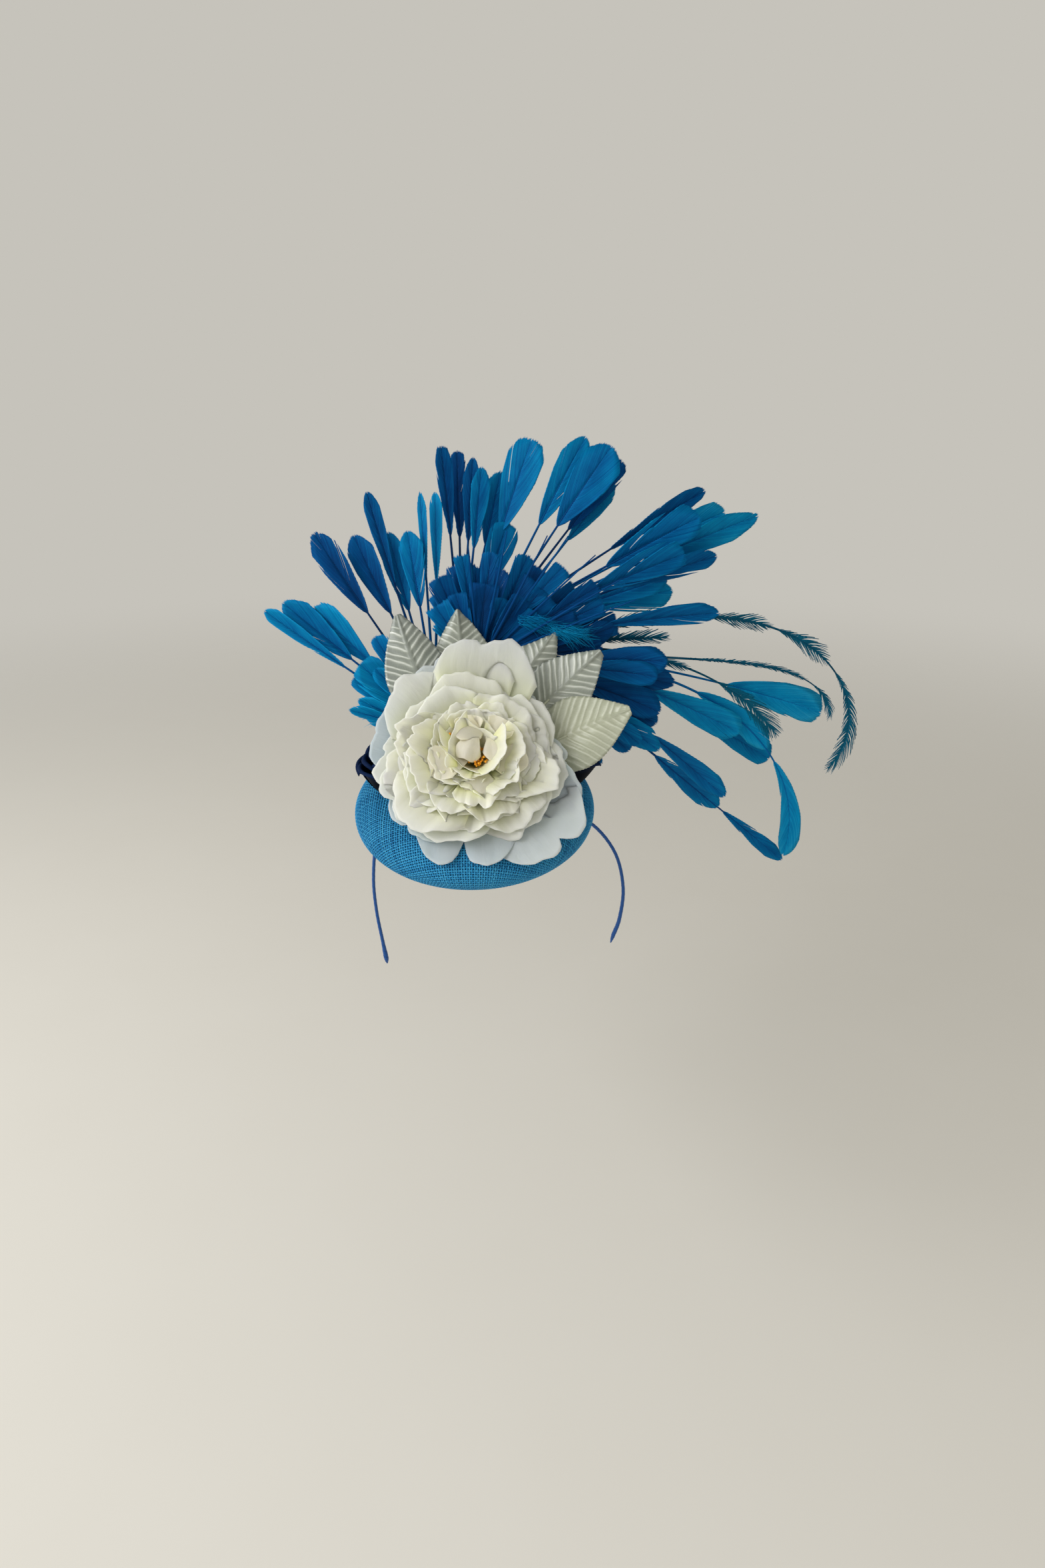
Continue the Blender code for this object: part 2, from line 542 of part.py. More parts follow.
def build_feather(spray, feather, root_depth):
    """A feather as one loft of four-cornered sections: the quill is its ridge, the vane's edges are thin."""
    points = []
    sections = feather_widths(feather)
    for share, wide in sections:
        centre, along = feather_line(spray, feather, root_depth, share)
        across = Vector((-along.z, 0, along.x)).normalized()
        out = along.cross(across).normalized()
        thick = QUILL_WIDTH + (QUILL_TIP_WIDTH - QUILL_WIDTH) * share
        for offset in (across * wide / 2, out * thick / 2, -across * wide / 2, -out * thick / 2):
            points.append(centre + offset)
    faces = [(3, 2, 1, 0)]
    for i in range(len(sections) - 1):
        for j in range(4):
            a, b = 4 * i + j, 4 * i + (j + 1) % 4
            faces.append((a, b, b + 4, a + 4))
    top = 4 * (len(sections) - 1)
    faces.append((top, top + 1, top + 2, top + 3))
    mesh = mesh_from("feather", points, faces)
    bm = bmesh.new()
    bm.from_mesh(mesh)
    bmesh.ops.recalc_face_normals(bm, faces=bm.faces)
    bm.to_mesh(mesh)
    bm.free()
    return node("feather", mesh, "feather")


def build_spray(spray):
    """A bound stem, its neck and the feathers that fan out of it, fused into one body."""
    foot = on_crown(spray.foot_x * MM, spray.foot_y * MM, GAP)
    neck = Vector((spray.neck_x, spray.neck_y, spray.neck_z)) * MM
    height = (neck - foot).length
    rise = on_crown(spray.foot_x * MM, spray.foot_y * MM, GAP + STEM_RISE * height)
    aim = math.radians(spray.aim)
    short = neck - Vector((math.cos(aim), 0, math.sin(aim))) * STEM_APPROACH * height
    stem = tube(spray.name, catmull_rom([foot, rise, short, neck], STEM_SPACING), STEM_TUBE_RADIUS, "feather")
    bpy.ops.mesh.primitive_uv_sphere_add(segments=8, ring_count=6, radius=1)
    bunch = bpy.context.object
    bunch.location = neck + Vector((math.cos(aim), 0, math.sin(aim))) * NECK_LENGTH / 2
    bunch.rotation_euler = (0, math.radians(90) - aim, 0)
    bunch.scale = (NECK_RADIUS, NECK_RADIUS, NECK_LENGTH)
    own = [f for f in FEATHERS if f.spray == spray.name]
    depths = [ROOT_STEP * (i % 3 - 1) for i in range(len(own))]
    smooth(fused(stem, [bunch] + [build_feather(spray, f, d) for f, d in zip(own, depths)]))


def main():
    for thing in list(bpy.data.objects):
        bpy.data.objects.remove(thing)
    bpy.context.scene.collection.children.link(bpy.data.collections.new("fascinator"))
    frame = base_frame()
    build_base(frame)
    build_headband()
    build_flower()
    for leaf in LEAVES:
        build_leaf(leaf)
    for rose in ROSES:
        build_rose(rose)
    for spray in SPRAYS:
        build_spray(spray)


main()
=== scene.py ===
"""Fascinator: a woven sinamay base with a silk peony, satin leaves, ribbon roses and coque feathers.

Sizes are in millimetres and turned to metres where a mesh is made. Most repeat the part's own sizes, and
a few differ from them.
"""

import logging
import math
from dataclasses import dataclass, field
from enum import Enum
from typing import Any, Mapping, Optional, Sequence

import bpy
import numpy as np
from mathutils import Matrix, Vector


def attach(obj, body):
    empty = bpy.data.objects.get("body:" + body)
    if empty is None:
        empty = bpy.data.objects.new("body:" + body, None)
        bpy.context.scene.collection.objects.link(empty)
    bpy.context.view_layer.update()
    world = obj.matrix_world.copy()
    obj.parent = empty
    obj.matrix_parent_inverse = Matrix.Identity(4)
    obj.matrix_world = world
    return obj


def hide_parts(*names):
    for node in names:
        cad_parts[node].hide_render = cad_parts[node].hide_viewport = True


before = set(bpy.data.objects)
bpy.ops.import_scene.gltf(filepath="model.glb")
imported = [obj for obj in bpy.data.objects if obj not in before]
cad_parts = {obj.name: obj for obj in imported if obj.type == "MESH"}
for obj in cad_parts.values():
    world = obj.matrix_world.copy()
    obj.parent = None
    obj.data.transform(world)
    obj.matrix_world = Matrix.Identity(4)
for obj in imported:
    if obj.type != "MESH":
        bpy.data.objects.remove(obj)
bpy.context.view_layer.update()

LOG = logging.getLogger("fascinator")
Array = np.ndarray
Tree = bpy.types.NodeTree
Node = bpy.types.Node
Socket = bpy.types.NodeSocket
MM = 0.001


def linear(code: str) -> tuple[float, float, float, float]:
    """Turns an sRGB hex code to linear light.

    Args:
        code: six hex digits after a hash.

    Returns:
        Red, green, blue and an alpha of 1.
    """
    parts = [int(code[i:i + 2], 16) / 255 for i in (1, 3, 5)]
    light = [c / 12.92 if c <= 0.04045 else ((c + 0.055) / 1.055) ** 2.4 for c in parts]
    return (light[0], light[1], light[2], 1.0)


def add_node(
    tree: Tree,
    kind: str,
    settings: Optional[Mapping[Any, Any]] = None,
    links: Optional[Mapping[Any, Any]] = None,
    feeds: Optional[Mapping[str, Socket]] = None,
) -> Node:
    """Adds a shader node with its settings and links.

    Args:
        tree: the material's or world's node tree.
        kind: the node's type name.
        settings: values by the node's own property, or else by the input's name or number. The name
            "stops" gives a colour ramp's (place, hex code) pairs.
        links: output sockets, or plain values, by the input's name or number.
        feeds: another node's input sockets by the output's name.

    Returns:
        The new node.
    """
    made = tree.nodes.new(kind)
    for key, value in (settings or {}).items():
        if key == "stops":
            ramp = made.color_ramp
            while len(ramp.elements) < len(value):
                ramp.elements.new(0.5)
            for stop, (place, code) in zip(ramp.elements, value):
                stop.position = place
                stop.color = linear(code)
        elif isinstance(key, str) and hasattr(made, key):
            setattr(made, key, value)
        else:
            made.inputs[key].default_value = value
    for key, source in (links or {}).items():
        if isinstance(source, Socket):
            tree.links.new(source, made.inputs[key])
        else:
            made.inputs[key].default_value = source
    for key, target in (feeds or {}).items():
        tree.links.new(made.outputs[key], target)
    return made


class Mix(Enum):
    """Socket numbers of a Mix node set to colours."""

    FACTOR = 0
    FIRST = 6
    SECOND = 7
    RESULT = 2


COAT_ROUGHNESS = 0.3
SCATTER_DEPTH = 0.002
SCATTER_COLOURS = (1.0, 1.0, 0.8)


@dataclass(frozen=True)
class Grain:
    """Fine noise on a surface: how it lies, how it tints the colour, and its relief in millimetres. It lies
    on the piece's own UV map when it is on cloth, and else on Object coordinates."""

    scale: float = 1.0
    detail: float = 2.0
    stretch: tuple[float, float, float] = (1, 1, 1)
    on_cloth: bool = False
    way: str = "OVERLAY"
    tint: float = 0.3
    strength: float = 0.0
    depth: float = 0.1


@dataclass(frozen=True)
class Finish:
    """What a surface is made of. A subclass says how its colour and relief are worked out."""

    name: str = ""
    slot: str = ""
    roughness: float = 0.5
    ior: float = 1.5
    specular: float = 0.5
    coat: float = 0.0
    subsurface: float = 0.0

    def material(self) -> bpy.types.Material:
        """The finish's material, made on its first use.

        Returns:
            A node-based material.
        """
        made = bpy.data.materials.get(self.name)
        if made is None:
            made = bpy.data.materials.new(self.name)
            made.use_nodes = True
            tree = made.node_tree
            shader = tree.nodes["Principled BSDF"]
            for socket, value in {
                "Roughness": self.roughness,
                "IOR": self.ior,
                "Specular IOR Level": self.specular,
                "Coat Weight": self.coat,
                "Coat Roughness": COAT_ROUGHNESS,
                "Subsurface Weight": self.subsurface,
                "Subsurface Scale": SCATTER_DEPTH,
                "Subsurface Radius": SCATTER_COLOURS,
            }.items():
                shader.inputs[socket].default_value = value
            self.paint(tree, shader)
        return made

    def paint(self, tree: Tree, shader: Node) -> None:
        """Adds the colour and relief. Plain by itself; each finish has its own."""

    @staticmethod
    def tones(tree: Tree) -> Node:
        """The three numbers that each point of the mesh carries, as one Separate node."""
        tone = add_node(tree, "ShaderNodeAttribute", {"attribute_name": "tone"})
        return add_node(tree, "ShaderNodeSeparateColor", {}, {"Color": tone.outputs["Color"]})

    @staticmethod
    def place(tree: Tree, scale: Sequence[float]) -> Socket:
        """Object coordinates stretched by three factors."""
        where = add_node(tree, "ShaderNodeTexCoord")
        return add_node(
            tree, "ShaderNodeMapping", {"Scale": tuple(scale)}, {"Vector": where.outputs["Object"]}
        ).outputs["Vector"]

    @staticmethod
    def cloth(tree: Tree, scale: Sequence[float]) -> Socket:
        """The piece's own UV map, in millimetres, stretched by three factors."""
        where = add_node(tree, "ShaderNodeUVMap", {"uv_map": "cloth"})
        return add_node(
            tree, "ShaderNodeMapping", {"Scale": tuple(scale)}, {"Vector": where.outputs["UV"]}
        ).outputs["Vector"]

    def grained(
        self, tree: Tree, shader: Node, colour: Any, grain: Grain, layers: Sequence[tuple[Any, Any]] = ()
    ) -> None:
        """Gives the shader a colour tinted by a grain, and the grain's relief where it has any.

        Args:
            tree: the material's node tree.
            shader: its shader.
            colour: the lowest colour, as a socket or linear colour.
            grain: the grain.
            layers: share and colour of each one mixed over the lowest, in order.
        """
        where = (self.cloth if grain.on_cloth else self.place)(tree, grain.stretch)
        settings = {"Scale": grain.scale, "Detail": grain.detail}
        noise = add_node(tree, "ShaderNodeTexNoise", settings, {"Vector": where}).outputs["Fac"]
        for way, share, upper in (*(("MIX", *layer) for layer in layers), (grain.way, grain.tint, noise)):
            settings = {"data_type": "RGBA", "blend_type": way}
            ends = {Mix.FACTOR.value: share, Mix.FIRST.value: colour, Mix.SECOND.value: upper}
            colour = add_node(tree, "ShaderNodeMix", settings, ends).outputs[Mix.RESULT.value]
        tree.links.new(colour, shader.inputs["Base Color"])
        if grain.strength:
            settings = {"Strength": grain.strength, "Distance": grain.depth * MM}
            add_node(tree, "ShaderNodeBump", settings, {"Height": noise}, {"Normal": shader.inputs["Normal"]})


@dataclass(frozen=True)
class Dyed(Finish):
    """A surface coloured along a ramp by the value that each point of the mesh carries: its dye, and on some
    pieces painted shade.
    """

    stops: tuple[tuple[float, str], ...] = ()
    grain: Grain = Grain()

    def paint(self, tree: Tree, shader: Node) -> None:
        """The ramp, tinted and raised by the grain."""
        shade = self.tones(tree).outputs["Red"]
        base = add_node(tree, "ShaderNodeValToRGB", {"stops": self.stops}, {"Fac": shade})
        self.grained(tree, shader, base.outputs["Color"], self.grain)


@dataclass(frozen=True)
class SinamayLining(Finish):
    """The under layer of stiffened sinamay, coloured darker than the weave's threads as painted shade under
    the open weave.
    """

    dark: str = "#08324f"
    light: str = "#0f5280"
    pitch: float = 1.5
    gap: float = 0.3
    sink: float = 0.2

    def paint(self, tree: Tree, shader: Node) -> None:
        """A grid of crossing bands at the thread pitch, with painted shade in the dark gaps between them."""
        grid = add_node(
            tree,
            "ShaderNodeTexBrick",
            {
                "offset": 0.0,
                "Scale": 1.0,
                "Color1": linear(self.light),
                "Color2": linear(self.light),
                "Mortar": linear(self.dark),
                "Mortar Size": self.gap,
                "Brick Width": 1.0,
                "Row Height": 1.0,
            },
            {"Vector": self.cloth(tree, (1 / self.pitch, 1 / self.pitch, 1))},
            {"Color": shader.inputs["Base Color"]},
        )
        settings = {"Strength": -0.5, "Distance": self.sink * MM}
        height = {"Height": grid.outputs["Fac"]}
        add_node(tree, "ShaderNodeBump", settings, height, {"Normal": shader.inputs["Normal"]})


@dataclass(frozen=True)
class PetalSilk(Finish):
    """Starched silk petals, die-cut and heat-curled: matt, thin enough to glow, greener towards the root."""

    root: str = "#d3de80"
    flesh: str = "#f1f3c2"
    edge: str = "#f7f8e6"
    # painted shade on the outermost layer, tinted by painted blue light showing through from the base behind
    shaded_outer_root: str = "#a6b8bd"
    shaded_outer_edge: str = "#bfcfd4"
    heart: str = "#f6ead0"
    crease: float = 3.0
    crease_length: float = 20.0
    crease_depth: float = 0.6
    cloud: Grain = Grain(60.0, 3.0, way="SOFT_LIGHT", tint=0.25)

    def paint(self, tree: Tree, shader: Node) -> None:
        """Root to edge colour, with the outer layers bluish grey from painted shade and painted blue light
        from the base behind, and creases fanning from the root.
        """
        tone = self.tones(tree)
        fac = {"Fac": tone.outputs["Red"]}
        outer, inner = (
            add_node(tree, "ShaderNodeValToRGB", {"stops": stops}, fac).outputs["Color"]
            for stops in (
                ((0.3, self.shaded_outer_root), (1.0, self.shaded_outer_edge)),
                ((0.2, self.root), (0.68, self.flesh), (1.0, self.edge)),
            )
        )
        layers = ((tone.outputs["Green"], inner), (tone.outputs["Blue"], linear(self.heart)))
        self.grained(tree, shader, outer, self.cloud, layers)
        crease = add_node(
            tree,
            "ShaderNodeTexNoise",
            {"Scale": 1.0, "Detail": 4.0, "Distortion": 0.4},
            {"Vector": self.cloth(tree, (1 / self.crease, 1 / self.crease_length, 1))},
        )
        settings = {"Strength": 0.55, "Distance": self.crease_depth * MM}
        height = {"Height": crease.outputs["Fac"]}
        add_node(tree, "ShaderNodeBump", settings, height, {"Normal": shader.inputs["Normal"]})


@dataclass(frozen=True)
class LeafSatin(Finish):
    """Pearly polyester satin pressed hot into pleats: a bright, slightly coloured gloss along each rib,
    partly real gloss and partly a painted highlight, with painted shade in the valleys. Its floats are drawn
    at half a millimetre, coarser than real ones, so that they show."""

    dark: str = "#808780"
    light: str = "#989f95"
    # painted highlight on the ribs
    painted_rib_highlight: str = "#e4e8e1"
    warm: str = "#bfc2a4"
    floats: Grain = Grain(1.0, 2.0, (1 / 0.5, 0.2 / 0.5, 1), True, "SOFT_LIGHT", 0.3, 0.06, 0.05)

    def paint(self, tree: Tree, shader: Node) -> None:
        """Painted shade, greyer in the valleys, and a painted highlight, paler on the ribs."""
        tone = self.tones(tree)
        stops = ((0.0, self.dark), (0.35, self.light), (1.0, self.painted_rib_highlight))
        base = add_node(tree, "ShaderNodeValToRGB", {"stops": stops}, {"Fac": tone.outputs["Red"]})
        layers = ((tone.outputs["Green"], linear(self.warm)),)
        self.grained(tree, shader, base.outputs["Color"], self.floats, layers)


@dataclass(frozen=True)
class StemTape(Finish):
    """Florist's crepe tape: matt green, wound round the wire in fine wrinkles."""

    dark: str = "#4a6238"
    light: str = "#7c9360"
    wrinkles: float = 900.0
    height: float = 0.2

    def paint(self, tree: Tree, shader: Node) -> None:
        """Wrinkles about half a millimetre apart across the wire."""
        settings = {"Scale": self.wrinkles, "Detail": 3.0}
        crepe = add_node(tree, "ShaderNodeTexNoise", settings, {"Vector": self.place(tree, (1, 1, 3))})
        fac = crepe.outputs["Fac"]
        stops = {"stops": ((0.3, self.dark), (0.7, self.light))}
        add_node(tree, "ShaderNodeValToRGB", stops, {"Fac": fac}, {"Color": shader.inputs["Base Color"]})
        settings = {"Strength": 0.4, "Distance": self.height * MM}
        add_node(tree, "ShaderNodeBump", settings, {"Height": fac}, {"Normal": shader.inputs["Normal"]})


@dataclass(frozen=True)
class CoqueFeather(Finish):
    """Dyed coque feather: barbs lie side by side with a silky gloss, deeper blue near the quill and lighter
    at the vane's edge, partly from the dye and partly as painted light passing through the thin edges.
    """

    deep: str = "#022650"
    navy: str = "#024480"
    cobalt: str = "#0268a6"
    azure: str = "#0590c4"
    pale: str = "#35aed4"
    teal_dark: str = "#05324c"
    teal: str = "#10708e"
    blotch: Grain = Grain(90.0, 3.0, way="SOFT_LIGHT", tint=0.35)

    def paint(self, tree: Tree, shader: Node) -> None:
        """Depth of dye and painted light from the mesh, barb by barb, over a ramp of blues or of teals."""
        tone = self.tones(tree)
        blues = ((0.0, self.deep), (0.3, self.navy), (0.55, self.cobalt), (0.8, self.azure), (1.0, self.pale))
        fac = {"Fac": tone.outputs["Red"]}
        blue, teal = (
            add_node(tree, "ShaderNodeValToRGB", {"stops": stops}, fac).outputs["Color"]
            for stops in (blues, ((0.0, self.teal_dark), (1.0, self.teal)))
        )
        self.grained(tree, shader, blue, self.blotch, ((tone.outputs["Green"], teal),))


@dataclass(frozen=True)
class StudioPaper(Finish):
    """Pale seamless paper under the piece, matt with a faint tooth."""

    tint: str = "#ebe8e0"
    fade_from: float = 0.5
    fade_to: float = 2.4
    tooth: Grain = Grain(12.0, 4.0, way="SOFT_LIGHT", tint=0.06)

    def paint(self, tree: Tree, shader: Node) -> None:
        """One pale colour with a slight mottle, fading out with distance."""
        self.grained(tree, shader, linear(self.tint), self.tooth)
        spot = self.place(tree, (1, 1, 0))
        far = add_node(tree, "ShaderNodeVectorMath", {"operation": "LENGTH"}, {0: spot})
        reach = {"From Min": self.fade_from, "From Max": self.fade_to, "To Min": 1.0, "To Max": 0.0}
        add_node(
            tree,
            "ShaderNodeMapRange",
            {"interpolation_type": "SMOOTHSTEP", **reach},
            {"Value": far.outputs["Value"]},
            {"Result": shader.inputs["Alpha"]},
        )


# Split banana fibre, dry and slightly shiny. Each strand is a little lighter or darker, with streaks about a
# third of a millimetre wide.
THREAD = Dyed(
    "sinamay_thread",
    "sinamay",
    roughness=0.6,
    specular=0.2,
    stops=((0.0, "#1d6fa6"), (0.5, "#2e93ca"), (1.0, "#4bafdc")),
    grain=Grain(3000.0, tint=0.35, strength=0.3),
)
# painted shade: the under layer is coloured darker than the threads over it
LINING = SinamayLining("sinamay_lining", "sinamay", roughness=0.8, specular=0.1)
# Polyester satin ribbon with a soft lengthwise gloss, and painted shade that darkens it where one turn laps
# the next. Its floats run round the wire and are drawn at about a third of a millimetre, coarser than real
# ones, so that they show.
BAND_SATIN = Dyed(
    "satin_ribbon_blue",
    "satin_blue",
    roughness=0.35,
    specular=0.35,
    stops=((0.0, "#082a5c"), (0.25, "#0f4f98"), (1.0, "#0f4f98")),
    grain=Grain(1.0, 1.0, (1 / 0.35, 0.25 / 0.35, 1), True, tint=0.2, strength=0.2, depth=0.05),
)
PETAL = PetalSilk("starched_petal_silk", "petal_silk", roughness=0.8, specular=0.15, subsurface=0.7)
LEAF = LeafSatin("leaf_satin_pearl", "leaf_satin", roughness=0.3, specular=0.7, coat=0.25)
# Navy satin ribbon with fine crosswise floats. Painted shade makes it nearly black in the lower half of each
# petal and of the bud, and painted light makes it bluer towards the top, where it turns to the light.
ROSE = Dyed(
    "rose_satin_navy",
    "rose_navy",
    roughness=0.6,
    specular=0.05,
    stops=((0.0, "#04070f"), (1.0, "#0f2246")),
    grain=Grain(1.0, 2.0, (0.5, 3.0, 1), True, tint=0.3, strength=0.2),
)
# Waxed thread filaments, pale yellow, with grainy orange flocked tips.
STAMEN = Dyed(
    "stamen_thread",
    "stamen",
    roughness=0.7,
    stops=((0.0, "#d9c277"), (0.6, "#ffb52a"), (1.0, "#f09a18")),
    grain=Grain(2500.0, tint=0.4, strength=0.5),
)
STEM = StemTape("florist_tape", "stem_wire", roughness=0.8)
FEATHER = CoqueFeather("coque_feather", "feather", roughness=0.55, specular=0.06)
PAPER = StudioPaper("studio_paper", roughness=0.9, specular=0.1)


@dataclass
class Skin:
    """Points, faces and point values gathered for one mesh."""

    points: list[Array] = field(default_factory=list)
    quads: list[Array] = field(default_factory=list)
    tris: list[Array] = field(default_factory=list)
    tones: list[Array] = field(default_factory=list)
    maps: list[Array] = field(default_factory=list)
    flats: list[Array] = field(default_factory=list)
    count: int = 0

    def add(self, points: Array, quads: Array, tris: Array, tone: Any, cloth: Any, flat: Any = False) -> None:
        """Adds points and the faces between them.

        Args:
            points: (n, 3) places in millimetres.
            quads: (m, 4) indices into the points.
            tris: (k, 3) indices into the points.
            tone: three numbers for each point, or for all.
            cloth: UV in millimetres for each point, or for all.
            flat: whether each quad, or every one, is shaded flat.
        """
        size = len(points)
        self.flats.append(np.broadcast_to(np.asarray(flat), (len(quads),)))
        self.points.append(points)
        self.quads.append(quads + self.count)
        self.tris.append(tris + self.count)
        self.tones.append(np.broadcast_to(np.asarray(tone, float), (size, 3)))
        self.maps.append(np.broadcast_to(np.asarray(cloth, float), (size, 2)))
        self.count += size

    def shell(self, sheets: Array, wall: float, tone: Any = (0, 0, 0), cloth: Any = (0, 0)) -> None:
        """Adds thin closed walls. Each sheet of points is set out by half the wall along its normal, once on
        either side, and the two skins are joined round their four edges.

        Args:
            sheets: (k, rows, columns, 3) points.
            wall: thickness in millimetres.
            tone: values of shape (k, rows, columns, 3), or what broadcasts to it.
            cloth: UV of shape (k, rows, columns, 2), or what broadcasts to it.
        """
        k, rows, columns = sheets.shape[:3]
        normal = np.cross(np.gradient(sheets, axis=2), np.gradient(sheets, axis=1))
        normal /= np.maximum(np.linalg.norm(normal, axis=-1, keepdims=True), 1e-9)
        both = np.stack([sheets + normal * wall / 2, sheets - normal * wall / 2], axis=1)
        index = np.arange(rows * columns).reshape(rows, columns)
        top = joined(index[:-1, :-1], index[:-1, 1:], index[1:, 1:], index[1:, :-1]).reshape(-1, 4)
        edge = np.concatenate([index[0, :-1], index[:-1, -1], index[-1, :0:-1], index[:0:-1, 0]])
        after = np.roll(edge, -1)
        under = rows * columns
        rim = joined(after, edge, edge + under, after + under)
        faces = np.concatenate([top, top[:, ::-1] + under, rim])
        flat = np.tile(np.arange(len(faces)) >= 2 * len(top), k)
        faces = (faces[None] + np.arange(k)[:, None, None] * 2 * under).reshape(-1, 4)
        tone = np.broadcast_to(np.asarray(tone, float), (k, rows, columns, 3))
        cloth = np.broadcast_to(np.asarray(cloth, float), (k, rows, columns, 2))
        self.add(
            both.reshape(-1, 3),
            faces,
            np.zeros((0, 3), int),
            np.stack([tone, tone], axis=1).reshape(-1, 3),
            np.stack([cloth, cloth], axis=1).reshape(-1, 2),
            flat,
        )

    def tube(self, ring: Array, path: Array, tone: Array, cloth: Array) -> None:
        """Joins rings of points along a path into a tube and closes both ends with a fan.

        Args:
            ring: (n, m, 3) points.
            path: (n, 3) middles of the rings.
            tone: three numbers for each point, then for the two ends.
            cloth: UV in millimetres for each point, then for the two ends.
        """
        n, m = ring.shape[:2]
        index = np.arange(n * m).reshape(n, m)
        after = np.roll(index, -1, axis=1)
        quads = joined(index[:-1], after[:-1], after[1:], index[1:]).reshape(-1, 4)
        first = joined(np.full(m, n * m), after[0], index[0])
        last = joined(np.full(m, n * m + 1), index[-1], after[-1])
        points = np.concatenate([ring.reshape(-1, 3), path[:1], path[-1:]])
        self.add(points, quads, np.concatenate([first, last]), tone, cloth)

    def sweep(self, path: Array, guide: Any, outline: Array, scale: Any = 1.0, tone: Any = (0, 0, 0)) -> None:
        """Carries an outline along a path. A point is the path's point, plus the outline's x along the
        sideways axis and its y along the upward axis, both times the scale.

        Args:
            path: (n, 3) points.
            guide: direction, or (n, 3) directions, that the upward axis keeps close to.
            outline: (m, 2) points, anticlockwise.
            scale: one number, or one for each point of the path.
            tone: three numbers, or (n, 3).
        """
        ahead = unit(np.gradient(path, axis=0))
        across = unit(np.cross(np.broadcast_to(np.asarray(guide, float), path.shape), ahead))
        up = np.cross(ahead, across)
        n, m = len(path), len(outline)
        size = np.broadcast_to(np.asarray(scale, float), (n,))[:, None, None]
        offset = across[:, None] * outline[None, :, :1] + up[:, None] * outline[None, :, 1:]
        shade = np.broadcast_to(np.asarray(tone, float), (n, 3))
        shade = np.concatenate([np.repeat(shade, m, axis=0), shade[:1], shade[-1:]])
        length = length_along(path)
        around = np.abs(np.linspace(-1, 1, m))
        cloth = joined(around[None], length[:, None]).reshape(-1, 2)
        cloth = np.concatenate([cloth, [[0, 0], [0, length[-1]]]])
        self.tube(path[:, None] + size * offset, path, shade, cloth)

    def build(self, name: str, finish: Finish, nodes: Sequence[str]) -> bpy.types.Object:
        """Makes the mesh object, dressed and named to the frame.

        Args:
            name: the piece's name.
            finish: its material.
            nodes: the CAD nodes that it stands for.

        Returns:
            The new object.
        """
        points = np.concatenate(self.points) * MM
        quads, tris = np.concatenate(self.quads), np.concatenate(self.tris)
        corners = np.concatenate([quads.ravel(), tris.ravel()]).astype(np.int32)
        starts = np.concatenate([np.arange(len(quads)) * 4, quads.size + np.arange(len(tris)) * 3])
        mesh = bpy.data.meshes.new(name)
        mesh.vertices.add(len(points))
        mesh.vertices.foreach_set("co", points.astype(np.float32).ravel())
        mesh.loops.add(len(corners))
        mesh.loops.foreach_set("vertex_index", corners)
        mesh.polygons.add(len(starts))
        mesh.polygons.foreach_set("loop_start", starts.astype(np.int32))
        smooth = np.concatenate([~np.concatenate(self.flats), np.ones(len(tris), bool)])
        mesh.polygons.foreach_set("use_smooth", smooth)
        mesh.update(calc_edges=True)
        tone = np.ones((len(points), 4), np.float32)
        tone[:, :3] = np.concatenate(self.tones)
        mesh.attributes.new("tone", "FLOAT_COLOR", "POINT").data.foreach_set("color", tone.ravel())
        cloth = np.concatenate(self.maps).astype(np.float32)
        mesh.uv_layers.new(name="cloth").data.foreach_set("uv", cloth[corners].ravel())
        mesh.validate()
        made = bpy.data.objects.new(name, mesh)
        bpy.context.scene.collection.objects.link(made)
        mesh.materials.append(finish.material())
        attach(made, "root")
        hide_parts(*nodes)
        LOG.info("%s: %d faces", name, len(starts))
        return made


def length_along(path: Array) -> Array:
    """The length from a path's start to each of its points."""
    return np.concatenate([[0], np.cumsum(np.linalg.norm(np.diff(path, axis=0), axis=1))])


def joined(*parts: Any) -> Array:
    """The parts, broadcast together, as the columns of a new last axis."""
    return np.stack(np.broadcast_arrays(*parts), axis=-1)


def polar(radius: Any, angle: Any, *rest: Any) -> Array:
    """Points at a radius and an angle round the axis, with their height where it is given."""
    return joined(radius * np.cos(angle), radius * np.sin(angle), *rest)


def unit(rows: Array) -> Array:
    """Each row divided by its length."""
    return rows / np.maximum(np.linalg.norm(rows, axis=-1, keepdims=True), 1e-9)


def oval(wide: float, high: float, sides: int) -> Array:
    """An ellipse of that width and height as an outline of so many corners."""
    turn = np.arange(sides) * 2 * np.pi / sides
    return joined(wide / 2 * np.cos(turn), high / 2 * np.sin(turn))


def catmull_rom(rows: Sequence[Sequence[float]], steps: int) -> Array:
    """A smooth curve through the given points: each span is the cubic that leaves and meets its ends along
    the line between their neighbours.

    Args:
        rows: points of any number of columns.
        steps: samples in each span.

    Returns:
        (n, columns) samples with the last point.
    """
    given = np.array(rows, float)
    padded = np.vstack([2 * given[0] - given[1], given, 2 * given[-1] - given[-2]])
    before, start, end, after = (padded[i:len(padded) - 3 + i][:, None] for i in range(4))
    t = (np.arange(steps) / steps)[None, :, None]
    bend = 2 * start + (end - before) * t + (2 * before - 5 * start + 4 * end - after) * t**2
    curve = (bend + (3 * start - before - 3 * end + after) * t**3) / 2
    return np.vstack([curve.reshape(-1, given.shape[1]), given[-1]])


def turned(points: Array, axis: str, degrees: float) -> Array:
    """Points turned about the X or Y axis through the origin."""
    c, s = math.cos(math.radians(degrees)), math.sin(math.radians(degrees))
    x, y, z = np.moveaxis(points, -1, 0)
    ways = {"X": (x, c * y - s * z, s * y + c * z), "Y": (c * x + s * z, y, c * z - s * x)}
    return joined(*ways[axis])


